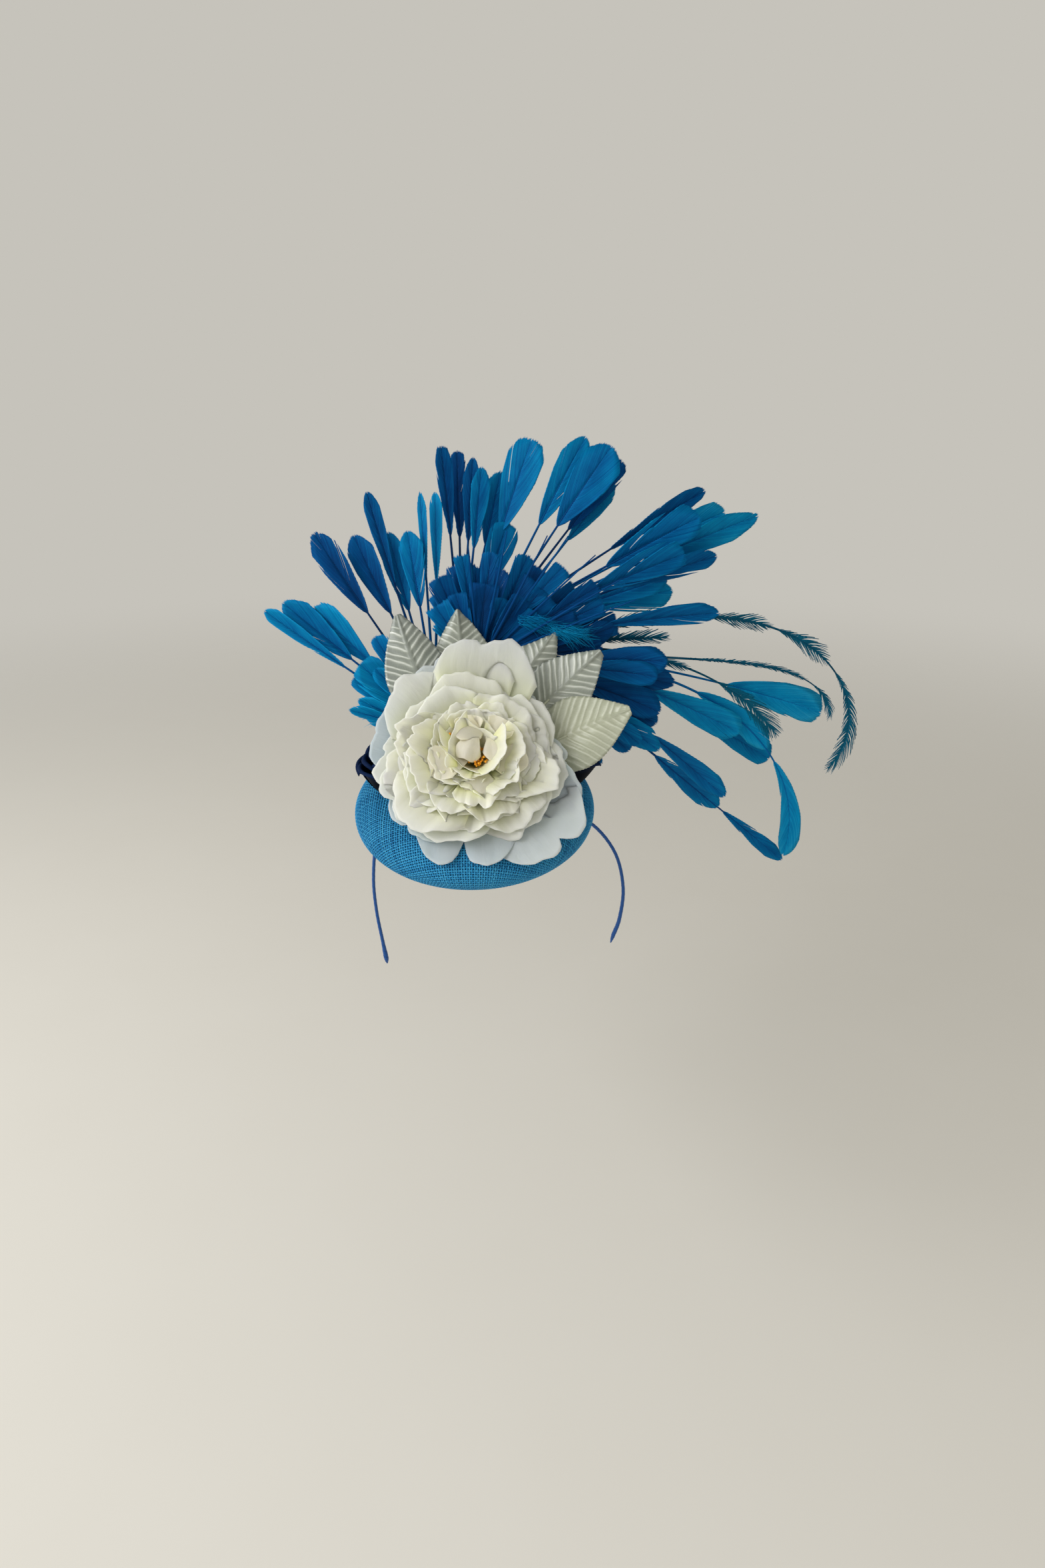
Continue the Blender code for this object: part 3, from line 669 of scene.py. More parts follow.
@dataclass
class Base:
    """The round sinamay base: a domed top with a rolled edge, tipped forward as it is worn."""

    tilt: float = 11.0
    crown_radius: float = 54.0
    crown_height: float = 34.0
    crown_drop: float = 3.0
    roll_width: float = 18.0
    roll_height: float = 15.5
    roll_first: float = 90.0
    roll_last: float = -70.0
    wall: float = 2.0
    pitch: float = 1.5
    strand_width: float = 1.12
    strand_height: float = 0.42
    crimp: float = 0.2

    def on_crown(self, x: float, y: float, above: float = 0.0) -> Array:
        """The place over that spot of the crown, so far above it."""
        height = self.crown_height - self.crown_drop * (math.hypot(x, y) / self.crown_radius) ** 2
        return turned(np.array([x, y, height + above]), "X", self.tilt)

    def profile(self) -> tuple[Array, Array, Array]:
        """The outline from the top's middle down to the mouth: a parabola, then an ellipse turned under.

        Returns:
            Its length, distance from the axis and height at many places.
        """
        dome = np.linspace(0, self.crown_radius, 80)[:-1]
        angle = np.radians(np.linspace(self.roll_first, self.roll_last, 120))
        middle = self.crown_height - self.crown_drop - self.roll_height
        out = np.concatenate([dome, self.crown_radius + self.roll_width * np.cos(angle)])
        top = self.crown_height - self.crown_drop * (dome / self.crown_radius) ** 2
        up = np.concatenate([top, middle + self.roll_height * np.sin(angle)])
        length = np.concatenate([[0], np.cumsum(np.hypot(np.diff(out), np.diff(up)))])
        return length, out, up

    def surface(self, flat_x: Array, flat_y: Array, above: Any) -> Array:
        """Lays flat cloth on the base: a point's distance from the middle is measured along the outline.

        Args:
            flat_x: place in the flat cloth.
            flat_y: place in the flat cloth.
            above: distance outwards from the base's surface.

        Returns:
            Points in the object's frame.
        """
        length, out, up = self.profile()
        far = np.hypot(flat_x, flat_y)
        angle = np.arctan2(flat_y, flat_x)
        slope_out = np.interp(far, length, np.gradient(out, length))
        slope_up = np.interp(far, length, np.gradient(up, length))
        radius = np.interp(far, length, out) - slope_up * above
        height = np.interp(far, length, up) + slope_out * above
        return turned(polar(radius, angle, height), "X", self.tilt)

    def build_lining(self) -> None:
        """The stiffened under layer: the outline spun round, its wall turned back inside at the mouth."""
        length, out, up = self.profile()
        shares = np.linspace(0, length[-1], 60)
        radius, height = np.interp(shares, length, out), np.interp(shares, length, up)
        slope_r, slope_h = np.gradient(radius), np.gradient(height)
        norm = np.hypot(slope_r, slope_h)
        inner_r = np.maximum(radius + slope_h / norm * self.wall, 0)
        inner_h = height - slope_r / norm * self.wall
        ring_r = np.concatenate([radius[1:], inner_r[:0:-1]])
        ring_h = np.concatenate([height[1:], inner_h[:0:-1]])
        sides = 96
        angle = np.arange(sides) * 2 * np.pi / sides
        points = polar(ring_r[:, None], angle, ring_h[:, None])
        n = len(ring_r)
        index = np.arange(n * sides).reshape(n, sides)
        after = np.roll(index, -1, axis=1)
        quads = joined(index[:-1], index[1:], after[1:], after[:-1]).reshape(-1, 4)
        poles = np.array([[0, 0, height[0]], [0, 0, height[0] - self.wall]])
        top = joined(np.full(sides, n * sides), index[0], after[0])
        low = joined(np.full(sides, n * sides + 1), after[-1], index[-1])
        way = np.concatenate([shares[1:], shares[:0:-1]])
        cloth = polar(way[:, None], angle)
        skin = Skin()
        skin.add(
            turned(np.concatenate([points.reshape(-1, 3), poles]), "X", self.tilt),
            quads,
            np.concatenate([top, low]),
            (0, 0, 0),
            np.concatenate([cloth.reshape(-1, 2), np.zeros((2, 2))]),
        )
        skin.build("sinamay_lining", LINING, ["sinamay_base"])

    def build_weave(self) -> None:
        """Strands of the open weave. A strand runs straight in the flat cloth and goes over and under at each
        crossing, by the crimp."""
        rng = np.random.default_rng(3)
        reach = self.profile()[0][-1] - 1.0
        skin = Skin()
        outline = oval(self.strand_width, self.strand_height, 3)
        lines = int(reach / self.pitch)
        for way in (0, 1):
            for i in range(-lines, lines + 1):
                offset = i * self.pitch
                half = int(math.sqrt(max(reach**2 - offset**2, 0)) / self.pitch)
                if half < 2:
                    continue
                steps = np.arange(-half, half + 1)
                along = steps * self.pitch
                sign = np.where((steps + i + way) % 2 == 0, 1.0, -1.0)
                drift = offset + 0.12 * np.sin(along / 17 + rng.uniform(0, 6))
                flat = (along, drift) if way == 0 else (drift, along)
                above = self.strand_height * 0.75 + self.crimp * sign
                path = self.surface(flat[0], flat[1], above)
                outward = self.surface(flat[0], flat[1], above + 1.0) - path
                # painted shade and highlight: a strand is made darker where it dips under a crossing strand
                # and lighter where it rides over it; the rest of its tone differs at random from strand to
                # strand
                shade = np.clip(rng.normal(0.5, 0.16) + 0.12 * sign, 0, 1)
                tone = joined(shade, shade, shade)
                skin.sweep(path, outward, outline, 1.0, tone)
        skin.build("sinamay_weave", THREAD, ["sinamay_base"])

    def build_binding(self) -> None:
        """The folded satin binding round the mouth: a small round cord, closed into a ring."""
        _, out, up = self.profile()
        sides, count = 10, 240
        angle = np.arange(count) * 2 * np.pi / count
        turn = np.arange(sides) * 2 * np.pi / sides
        radius = out[-1] + 0.2 + np.cos(turn)[None]
        height = up[-1] + 0.1 + np.sin(turn)[None]
        ring = polar(radius, angle[:, None], height)
        points = turned(ring.reshape(-1, 3), "X", self.tilt)
        index = np.arange(count * sides).reshape(count, sides)
        ahead, beside = np.roll(index, -1, axis=0), np.roll(index, -1, axis=1)
        quads = joined(index, ahead, np.roll(ahead, -1, axis=1), beside).reshape(-1, 4)
        skin = Skin()
        cloth = joined(turn[None], angle[:, None] * out[-1]).reshape(-1, 2)
        skin.add(points, quads, np.zeros((0, 3), int), (0.1, 0, 0), cloth)
        skin.build("edge_binding_satin", BAND_SATIN, ["edge_binding"])

    def build(self) -> None:
        """Builds the lining, the weave and the binding."""
        self.build_lining()
        self.build_weave()
        self.build_binding()


@dataclass
class Headband:
    """A wire wound with satin ribbon, from one slim tip up under the base and down to the other."""

    radius: float = 1.1
    wrap: float = 5.0
    lap: float = 0.09
    course: tuple[tuple[float, float, float, float], ...] = (
        (-67, 46, -127, 0.5),
        (-67.5, 45.5, -122, 1.5),
        (-69, 44, -108, 1.1),
        (-71.5, 41, -82, 1),
        (-71.5, 37, -55, 1),
        (-67, 31, -24, 1),
        (-57.2, 18, 1.6, 1),
        (-36, 15, 5.5, 1),
        (0, 13, 9, 1),
        (36, 15, 5.5, 1),
        (57.2, 18, 1.6, 1),
        (76, 29, -13, 1),
        (91, 35, -36, 1),
        (97.5, 40, -64, 1.05),
        (96.5, 45, -90, 1.2),
        (93, 49, -106, 1.3),
        (91.5, 50.5, -113, 0.4),
    )

    def build(self) -> None:
        """The wire as a tube whose radius steps up by the lap at each turn of ribbon, along a helix."""
        course = catmull_rom(self.course, 48)
        path, size = course[:, :3], course[:, 3] * self.radius
        sides = 20
        ahead = unit(np.gradient(path, axis=0))
        across = unit(np.cross((0, 1, 0), ahead))
        up = np.cross(ahead, across)
        length = length_along(path)
        turn = np.arange(sides) * 2 * np.pi / sides
        phase = (length[:, None] / self.wrap + turn[None] / (2 * np.pi)) % 1.0
        wide = size[:, None] * (1 + self.lap * (phase - 0.5))
        ring = path[:, None] + wide[..., None] * (
            across[:, None] * np.cos(turn)[None, :, None] + up[:, None] * np.sin(turn)[None, :, None]
        )
        # painted shade: the ribbon's colour darkens towards the line where one turn laps the next
        edge = np.clip(np.minimum(phase, 1 - phase) * 5, 0, 1).ravel()
        tone = np.concatenate([joined(edge, edge, edge), np.ones((2, 3))])
        cloth = joined(phase * self.wrap, length[:, None]).reshape(-1, 2)
        skin = Skin()
        skin.tube(ring, path, tone, np.concatenate([cloth, np.zeros((2, 2))]))
        skin.build("headband_satin", BAND_SATIN, ["headband"])


@dataclass(frozen=True)
class PetalLayer:
    """One layer of petals: how many, its radius, its cup from hub to rim, and how its edge is worked."""

    petals: int
    radius: float
    hub: float
    rim: float
    turn: float
    ruffle: float
    waves: float
    notch: float
    curl: float
    inner: float
    scallop: float
    inward: float
    unrest: float


@dataclass(frozen=True)
class HeartPetal:
    """A small petal folded over the heart: its direction, root, start and end height, length, half width,
    arch and how far its sides rise."""

    angle: float
    root: tuple[float, float]
    low: float
    high: float
    length: float
    half: float
    arch: float
    cup: float


@dataclass(frozen=True)
class OuterPetal:
    """A petal of the lowest layer, given one by one: its angle, half width, reach and notch."""

    angle: float
    half: float
    reach: float
    notch: float


@dataclass
class Peony:
    """The silk peony: stacked layers of petals round a heart of stamens, facing forward and up."""

    base: Base
    rise: float = 48.0
    centre: tuple[float, float, float] = (2.0, -24.0, 47.5)
    lean_out: float = 0.27
    lean_up: float = 0.04
    bow: float = 3.0
    hole: float = 2.1
    wall: float = 0.28
    rows: int = 30
    columns: int = 25
    reach_shares: tuple[float, ...] = (
        0.88, 0.76, 0.74, 1.20, 1.10, 0.78, 0.92, 0.92, 0.84, 0.76, 0.84, 1.00, 0.88,
    )
    inner_shares: tuple[float, ...] = (
        0.95, 0.90, 0.80, 0.76, 0.78, 0.84, 0.95, 1.00, 0.95, 0.88, 0.95, 1.00, 0.95,
    )
    stamens: int = 84
    bent_from: int = 71
    layers: tuple[PetalLayer, ...] = (
        PetalLayer(8, 73, 0, 0, 0, 1.0, 1.3, 0.26, 0.0, 0.0, 0.016, 0.0, 0.5),
        PetalLayer(8, 65, 1.6, 9, 38, 2.4, 1.3, 0.14, 1.5, 0.8, 0.022, 0.0, 1.4),
        PetalLayer(8, 59, 3.2, 16.5, 5, 2.8, 1.5, 0.14, 2.0, 0.85, 0.026, 0.02, 2.0),
        PetalLayer(8, 50, 4.8, 22.5, 30, 3.0, 1.6, 0.16, 2.2, 0.95, 0.032, 0.05, 2.6),
        PetalLayer(7, 40, 6.4, 27, 12, 3.0, 1.7, 0.16, 2.0, 1.0, 0.036, 0.10, 2.6),
        PetalLayer(6, 30, 8, 30, 44, 2.4, 1.6, 0.14, 1.2, 1.0, 0.040, 0.20, 2.4),
        PetalLayer(4, 20, 9.6, 31.5, 20, 1.4, 1.2, 0.08, 0.3, 1.0, 0.045, 0.25, 2.0),
    )
    outer: tuple[OuterPetal, ...] = (
        OuterPetal(-98, 29, 0.91, 0.30),
        OuterPetal(-42, 30, 1.04, 0.14),
        OuterPetal(-24, 18, 0.90, 0.06),
        OuterPetal(160, 24, 0.84, 0.05),
        OuterPetal(198, 20, 0.72, 0.1),
        OuterPetal(228, 24, 0.80, 0.1),
        OuterPetal(2, 18, 0.74, 0.08),
        OuterPetal(76, 17, 0.92, 0.06),
        OuterPetal(46, 18, 0.70, 0.06),
        OuterPetal(110, 22, 0.90, 0.06),
        OuterPetal(130, 22, 0.80, 0.06),
    )

    folds: tuple[HeartPetal, ...] = (
        HeartPetal(-112, (1.0, 9.5), 29, 30, 17, 7.5, 3.5, -2.6),
        HeartPetal(-78, (9.0, 8.5), 28, 30, 15, 6.0, 2.0, -1.6),
        HeartPetal(160, (4.5, 8.5), 29, 32, 15, 8.0, 1.5, 2.0),
        HeartPetal(92, (-2.5, 7.0), 26, 32, 13, 8.0, 0.5, 3.0),
        HeartPetal(206, (-3.0, -1.0), 25, 29, 24, 11.0, 1.5, 2.6),
        HeartPetal(-84, (2.5, -8.5), 24, 27, 18, 9.5, 2.0, -1.5),
        HeartPetal(-15, (8.0, -3.0), 25, 29, 22, 11.0, 1.5, 2.6),
        HeartPetal(48, (8.0, 5.0), 27, 32, 16, 9.0, 1.0, 2.6),
    )

    def placed(self, points: Array) -> Array:
        """Turns points from the flower's own frame to the object's."""
        return turned(points, "X", self.rise) + np.array(self.centre)

    def leaning(self, radius: Any, angle: Any) -> Any:
        """How far the flower's face stands out at that radius."""
        return radius * (self.lean_out + self.lean_up * np.sin(angle))

    def petal(
        self,
        layer: PetalLayer,
        angle: float,
        half: float,
        reach: float,
        notch: float,
        lift: float,
        rng: np.random.Generator,
    ) -> Array:
        """One petal as a grid. Across it u runs from -1 to 1 and along it v from 0 to 1. Its half width grows
        as a sine of v; its end is rounded by the square of u, waved by sines of u and notched by a pointed
        curve. The flat outline is laid on the layer's cone, then the edge is rippled by sines of u that grow
        with v, one side is lifted over the neighbour, and the end is curled back.

        Args:
            layer: the layer that it belongs to.
            angle: its direction in the flower's face, in degrees.
            half: half its width at the widest.
            reach: its length as a share of the layer's radius.
            notch: depth of the notch as a share of its length.
            lift: extra height.
            rng: the seeded source of small differences.

        Returns:
            (rows, columns, 3) points in the flower's frame.
        """
        u = np.linspace(-1, 1, self.columns)[None, :]
        v = np.linspace(0.02, 1, self.rows)[:, None]
        phase, second, third = rng.uniform(0, 2 * math.pi, 3)
        bend, skew = rng.normal(0, 0.06), rng.uniform(-0.4, 0.4) if layer.inner else 0.0
        width = half * (0.16 + 0.84 * np.sin(math.pi / 2 * v**0.85))
        waves = layer.waves * math.pi * rng.uniform(0.6, 1.35)
        long = layer.radius * reach - self.hole
        rounding = 0.46 * (1 - np.sqrt(1 - 0.975 * u**2)) + notch * np.exp(-np.abs(u - skew) / 0.16)
        lobes = np.sin(4.6 * u + phase) + 0.6 * np.sin(9.3 * u + second) + 0.3 * np.sin(21 * u + third)
        ahead = self.hole + long * (v - v**3 * (rounding + layer.scallop * lobes))
        ahead = ahead * (1 - layer.inward * rng.uniform(-0.3, 1.0) * v**2)
        side = width * u
        radius = np.hypot(side, ahead)
        theta = math.radians(angle) + np.arctan2(side, ahead) + bend * v
        out = np.minimum(radius / layer.radius, 1.15)
        height = layer.hub + (layer.rim - layer.hub) * out**1.3
        height = height + self.bow * np.sin(math.pi * np.minimum(out, 1))
        ripple = np.sin(waves * u + phase) + 0.45 * np.sin(2.3 * waves * u + second)
        ripple = ripple + 0.22 * np.sin(5.1 * waves * u + third)
        calm = 1 - 0.65 * max(0.0, math.sin(math.radians(angle + 8)))
        worked = layer.ruffle * calm * rng.uniform(0.5, 1.6)
        height = height + worked * v**2.0 * ripple * (0.3 + 0.7 * np.abs(u))
        height = height + rng.choice([-1.0, 1.0]) * rng.uniform(0.8, 2.2) * u * v
        height = height + (lift + rng.normal(0, layer.unrest)) * v
        height = height + rng.uniform(-1.0, 3.0) * (1 - u**2) * v * (1 - v) * 2
        height = height - layer.curl * rng.uniform(0.3, 1.6) * np.clip((v - 0.72) / 0.28, 0, 1) ** 2
        height = height + self.leaning(radius, theta)
        return polar(radius, theta, height)

    def tone(self, layer: PetalLayer, rng: np.random.Generator) -> Array:
        """Root-to-edge share, warmth of the layer (a low warmth gives the outer layer's painted bluish shade)
        and a little of the heart's cream for a petal's points.
        """
        v = np.linspace(0.02, 1, self.rows)[:, None] + np.zeros((1, self.columns))
        warm = np.clip(layer.inner + rng.normal(0, 0.05), 0, 1)
        return joined(v, warm, rng.uniform(0, 0.18))

    def build_layer(self, number: int, layer: PetalLayer) -> None:
        """All petals of a layer in two rings: the shorter ring lies between the petals of the longer."""
        rng = np.random.default_rng(40 + number)
        petals, tones, cuts = [], [], []
        if number == 1:
            for own in self.outer:
                petals.append(self.petal(layer, own.angle, own.half, own.reach, own.notch, 0.0, rng))
                tones.append(self.tone(layer, rng))
                cuts.append((2 * own.half, layer.radius * own.reach))
        else:
            angles = np.arange(0, 361, 30)
            half = layer.radius * math.tan(math.pi / layer.petals) * 0.94
            inward = min((number - 2) / 2, 1.0)
            for ring, (share, lift) in enumerate(((1.0, 0.0), (0.85, 2.0))):
                for i in range(layer.petals):
                    way = layer.turn + (i + ring / 2) * 360 / layer.petals
                    way += rng.normal(0, 4 + 3 * layer.unrest)
                    above = max(0.0, math.sin(math.radians(way + 8)))
                    if rng.uniform() < (0.6 if ring else 0.12) * above:
                        continue
                    first = float(np.interp(way % 360, angles, self.reach_shares))
                    last = float(np.interp(way % 360, angles, self.inner_shares))
                    reach = share * (first + (last - first) * inward)
                    reach *= rng.uniform(0.9 - 0.03 * layer.unrest, 1.03)
                    size = half * share * rng.uniform(0.68, 1.1) * (1 + 0.12 * above)
                    notch = layer.notch * max(0.0, rng.uniform(-0.6, 1.0))
                    petals.append(self.petal(layer, way, size, reach, notch, lift, rng))
                    tones.append(self.tone(layer, rng))
                    cuts.append((2 * size, layer.radius * reach))
        u = np.linspace(-1, 1, self.columns)[None, :] * 20
        v = np.linspace(0, 1, self.rows)[:, None] * layer.radius
        shift = np.arange(len(petals))[:, None, None] * 57.0
        cloth = joined(u[None] + shift, v[None])
        skin = Skin()
        skin.shell(self.placed(np.array(petals)), self.wall, np.array(tones), cloth)
        made = skin.build(f"peony_petals_{number}", PETAL, [f"peony_layer_{number}"])

    def build_folds(self) -> None:
        """The small petals folded over the heart. Each is a grid whose height runs from its start to its end
        plus an arch, half a sine of the way along, and whose sides cup up by the square of the way across."""
        rng = np.random.default_rng(12)
        u = np.linspace(-1, 1, self.columns)[None, :]
        v = np.linspace(0, 1, self.rows)[:, None]
        petals, tones = [], []
        for fold in self.folds:
            phase = rng.uniform(0, 6)
            rounding = 0.5 * (1 - np.sqrt(1 - 0.975 * u**2)) + 0.04 * np.sin(4 * u + phase)
            ahead = fold.length * (v - v**3 * rounding)
            side = fold.half * (0.22 + 0.78 * np.sin(math.pi / 2 * v**0.9)) * u
            height = fold.low + (fold.high - fold.low) * v + fold.arch * np.sin(math.pi * v)
            height = height + fold.cup * u**2 * v + 0.9 * v**2 * np.sin(5 * u + phase)
            c, s = math.cos(math.radians(fold.angle)), math.sin(math.radians(fold.angle))
            x, y = fold.root[0] + ahead * c - side * s, fold.root[1] + ahead * s + side * c
            petals.append(joined(x, y, height))
            share = 0.35 + 0.6 * v + 0 * u
            tones.append(joined(share, 1, 0.7))
        cloth = joined(u * 8, v * 20)
        skin = Skin()
        skin.shell(self.placed(np.array(petals)), self.wall, np.array(tones), cloth[None])
        made = skin.build("peony_heart_petals", PETAL, ["peony_layer_7"])

    def build_heart(self) -> None:
        """The stamens: bent threads that fan out of the heart, each with a small flocked tip."""
        rng = np.random.default_rng(9)
        skin = Skin()
        for i in range(self.stamens):
            angle, spread = rng.uniform(0, 2 * math.pi), math.sqrt(rng.uniform(0, 1)) * 5.2
            bent = np.array([[-9.5, 6.0]]) if i >= self.bent_from else np.array([[2.2, -2.0]])
            high = rng.uniform(23.5, 28.5)
            share = np.linspace(0, 1, 7)[:, None]
            way = np.array([[math.cos(angle), math.sin(angle)]])
            flat = way * (0.8 + spread * share**1.6) + bent * share
            path = self.placed(np.hstack([flat, 12 + (high - 12) * share]))
            skin.sweep(path, (1, 0.2, 0), oval(0.45, 0.45, 5), 1.0, (0.15, 0, 0))
            tip = path[-1] + unit(path[-1] - path[-2]) * np.linspace(-0.6, 1.2, 5)[:, None]
            swell = np.array([0.3, 0.9, 1.0, 0.8, 0.3])
            skin.sweep(tip, (1, 0.2, 0), oval(1.5, 1.2, 6), swell, (rng.uniform(0.5, 1), 0, 0))
        skin.build("peony_stamen_threads", STAMEN, ["peony_stamens"])

    def build_stem(self) -> None:
        """The taped wire stem, from the crown up through the layers."""
        foot, low = self.base.on_crown(2, 6, 0.0), self.base.on_crown(2, 6, 4.0)
        straight = self.placed(np.array([[0, 0, -9.0], [0, 0, 0], [0, 0, 13.5]]))
        path = catmull_rom([foot, low, *straight], 14)
        skin = Skin()
        skin.sweep(path, (1, 0, 0), oval(3, 3, 14))
        skin.build("peony_stem_tape", STEM, ["peony_stem"])

    def build(self) -> None:
        """Builds the stem, the seven layers and the heart."""
        self.build_stem()
        for number, layer in enumerate(self.layers, 1):
            self.build_layer(number, layer)
        self.build_folds()
        self.build_heart()


@dataclass(frozen=True)
class Leaf:
    """A satin leaf: its place in the flower's face, width, how far behind the face it lies, its stalk's foot,
    and how warm its colour is."""

    name: str
    tip_angle: float
    base_angle: float
    base: float
    tip: float
    width: float
    behind: float
    foot: tuple[float, float]
    warm: float


@dataclass
class Leaves:
    """Five pleated satin leaves round the top of the flower, each on its wire stalk."""

    peony: Peony
    wall: float = 0.4
    droop: float = 2.5
    rib_pitch: float = 4.6
    rib_height: float = 0.27
    slant: float = 0.8
    tooth: float = 1.7
    rows: int = 150
    columns: int = 27
    leaves: tuple[Leaf, ...] = (
        Leaf("leaf_left", 118, 129, 36, 99, 37, 5, (-14, 4), 0.0),
        Leaf("leaf_top_left", 97, 93, 30, 95, 40, 11, (-6, 14), 0.15),
        Leaf("leaf_top_right", 61, 69, 34, 95, 36, 17, (12, 14), 0.15),
        Leaf("leaf_upper_right", 42.5, 44, 38, 99, 39, 11, (24, 4), 0.1),
        Leaf("leaf_right", 18, 14, 35, 93, 44, 5, (30, -10), 0.6),
    )

    def blade(self, leaf: Leaf, along: Array, across: Array) -> tuple[Array, Array]:
        """The leaf as a grid. Its half width is a sine of the way along with small teeth; it droops by the
        square of the way across, and its pleats are a rounded wave that runs forward from the midrib.

        Args:
            leaf: its sizes.
            along: share of the length, down the rows.
            across: from -1 to 1, along the columns.

        Returns:
            Points in the flower's frame, and how high on its pleat each one lies.
        """
        first, last = math.radians(leaf.base_angle), math.radians(leaf.tip_angle)
        start = np.array([math.cos(first), math.sin(first)]) * leaf.base
        end = np.array([math.cos(last), math.sin(last)]) * leaf.tip
        line = end - start
        long = math.hypot(*line)
        side = np.array([-line[1], line[0]]) / long
        half = leaf.width / 2 * np.sin(math.pi * (0.06 + 0.90 * along) ** 0.85)
        teeth = ((along * long / self.tooth) % 1.0) * 0.5
        reach = across * (half + teeth * np.abs(across) ** 6)
        bow = 1.2 * np.sin(math.pi * along)
        spot = start + line * along[..., None] + side * (reach + bow)[..., None]
        phase = (along * long - np.abs(reach) * self.slant) / self.rib_pitch
        wander = 0.10 * np.sin(3.1 * phase + 2.0 * np.abs(across)) + 0.03 * np.sin(0.9 * reach)
        pleat = (1 - np.abs(np.sin(math.pi * (phase + wander)))) ** 1.4
        fade = np.clip(np.abs(reach) / 2.0, 0, 1) * np.clip((1 - along) * 8, 0, 1)
        midrib = 0.7 * np.exp(-((reach / 0.6) ** 2))
        far = np.hypot(spot[..., 0], spot[..., 1])
        stand = self.peony.leaning(far, np.arctan2(spot[..., 1], spot[..., 0]))
        wave = 0.7 * np.sin(5.0 * along + 2.6 * across + leaf.width)
        wave = wave + 0.35 * np.sin(11.0 * along - 4.0 * across)
        height = stand - leaf.behind - self.droop * across**2 + wave
        height = height + self.rib_height * 2 * (pleat - 0.5) * fade + midrib
        return np.concatenate([spot, height[..., None]], axis=-1), pleat * fade

    def build_one(self, leaf: Leaf) -> None:
        """Builds a leaf with its stalk."""
        along = np.linspace(0, 1, self.rows)[:, None] + np.zeros((1, self.columns))
        across = np.linspace(-1, 1, self.columns)[None, :] + np.zeros((self.rows, 1))
        half = np.sin(math.pi * (0.06 + 0.90 * along) ** 0.85) - math.sin(math.pi * 0.96**0.85)
        along = np.clip(along + self.slant * 0.35 * np.abs(across) * half, 0, 1)
        points, pleat = self.blade(leaf, along, across)
        warm = np.clip(leaf.warm + 0.25 * (1 - along) * (1 - np.abs(across)), 0, 1)
        # painted shade in the pleats' valleys and a painted highlight on their ribs come from each point's
        # height on its pleat
        tone = joined(pleat, warm, along)
        cloth = joined(across * leaf.width / 2, along * (leaf.tip - leaf.base))
        skin = Skin()
        sheet = self.peony.placed(points[:, ::-1])[None]
        skin.shell(sheet, self.wall, tone[:, ::-1][None], cloth[:, ::-1][None])
        base = self.peony.base
        foot, low = base.on_crown(*leaf.foot), base.on_crown(*leaf.foot, 6.0)
        rib = np.array([[0.0], [0.175], [0.35]])
        middle = self.peony.placed(self.blade(leaf, rib, rib * 0)[0][:, 0])
        path = catmull_rom([foot, low, *(middle - np.array([0, 0, 0.3]))], 10)
        skin.sweep(path, (1, 0, 0), oval(1.6, 1.6, 8), 1.0, (0.3, 0.8, 0))
        made = skin.build(leaf.name + "_satin", LEAF, [leaf.name])

    def build(self) -> None:
        """Builds the five leaves."""
        for leaf in self.leaves:
            self.build_one(leaf)


@dataclass(frozen=True)
class Rose:
    """A ribbon rose: its name, foot on the crown, and how it leans."""

    name: str
    foot: tuple[float, float]
    lean_x: float
    lean_y: float
    seed: int


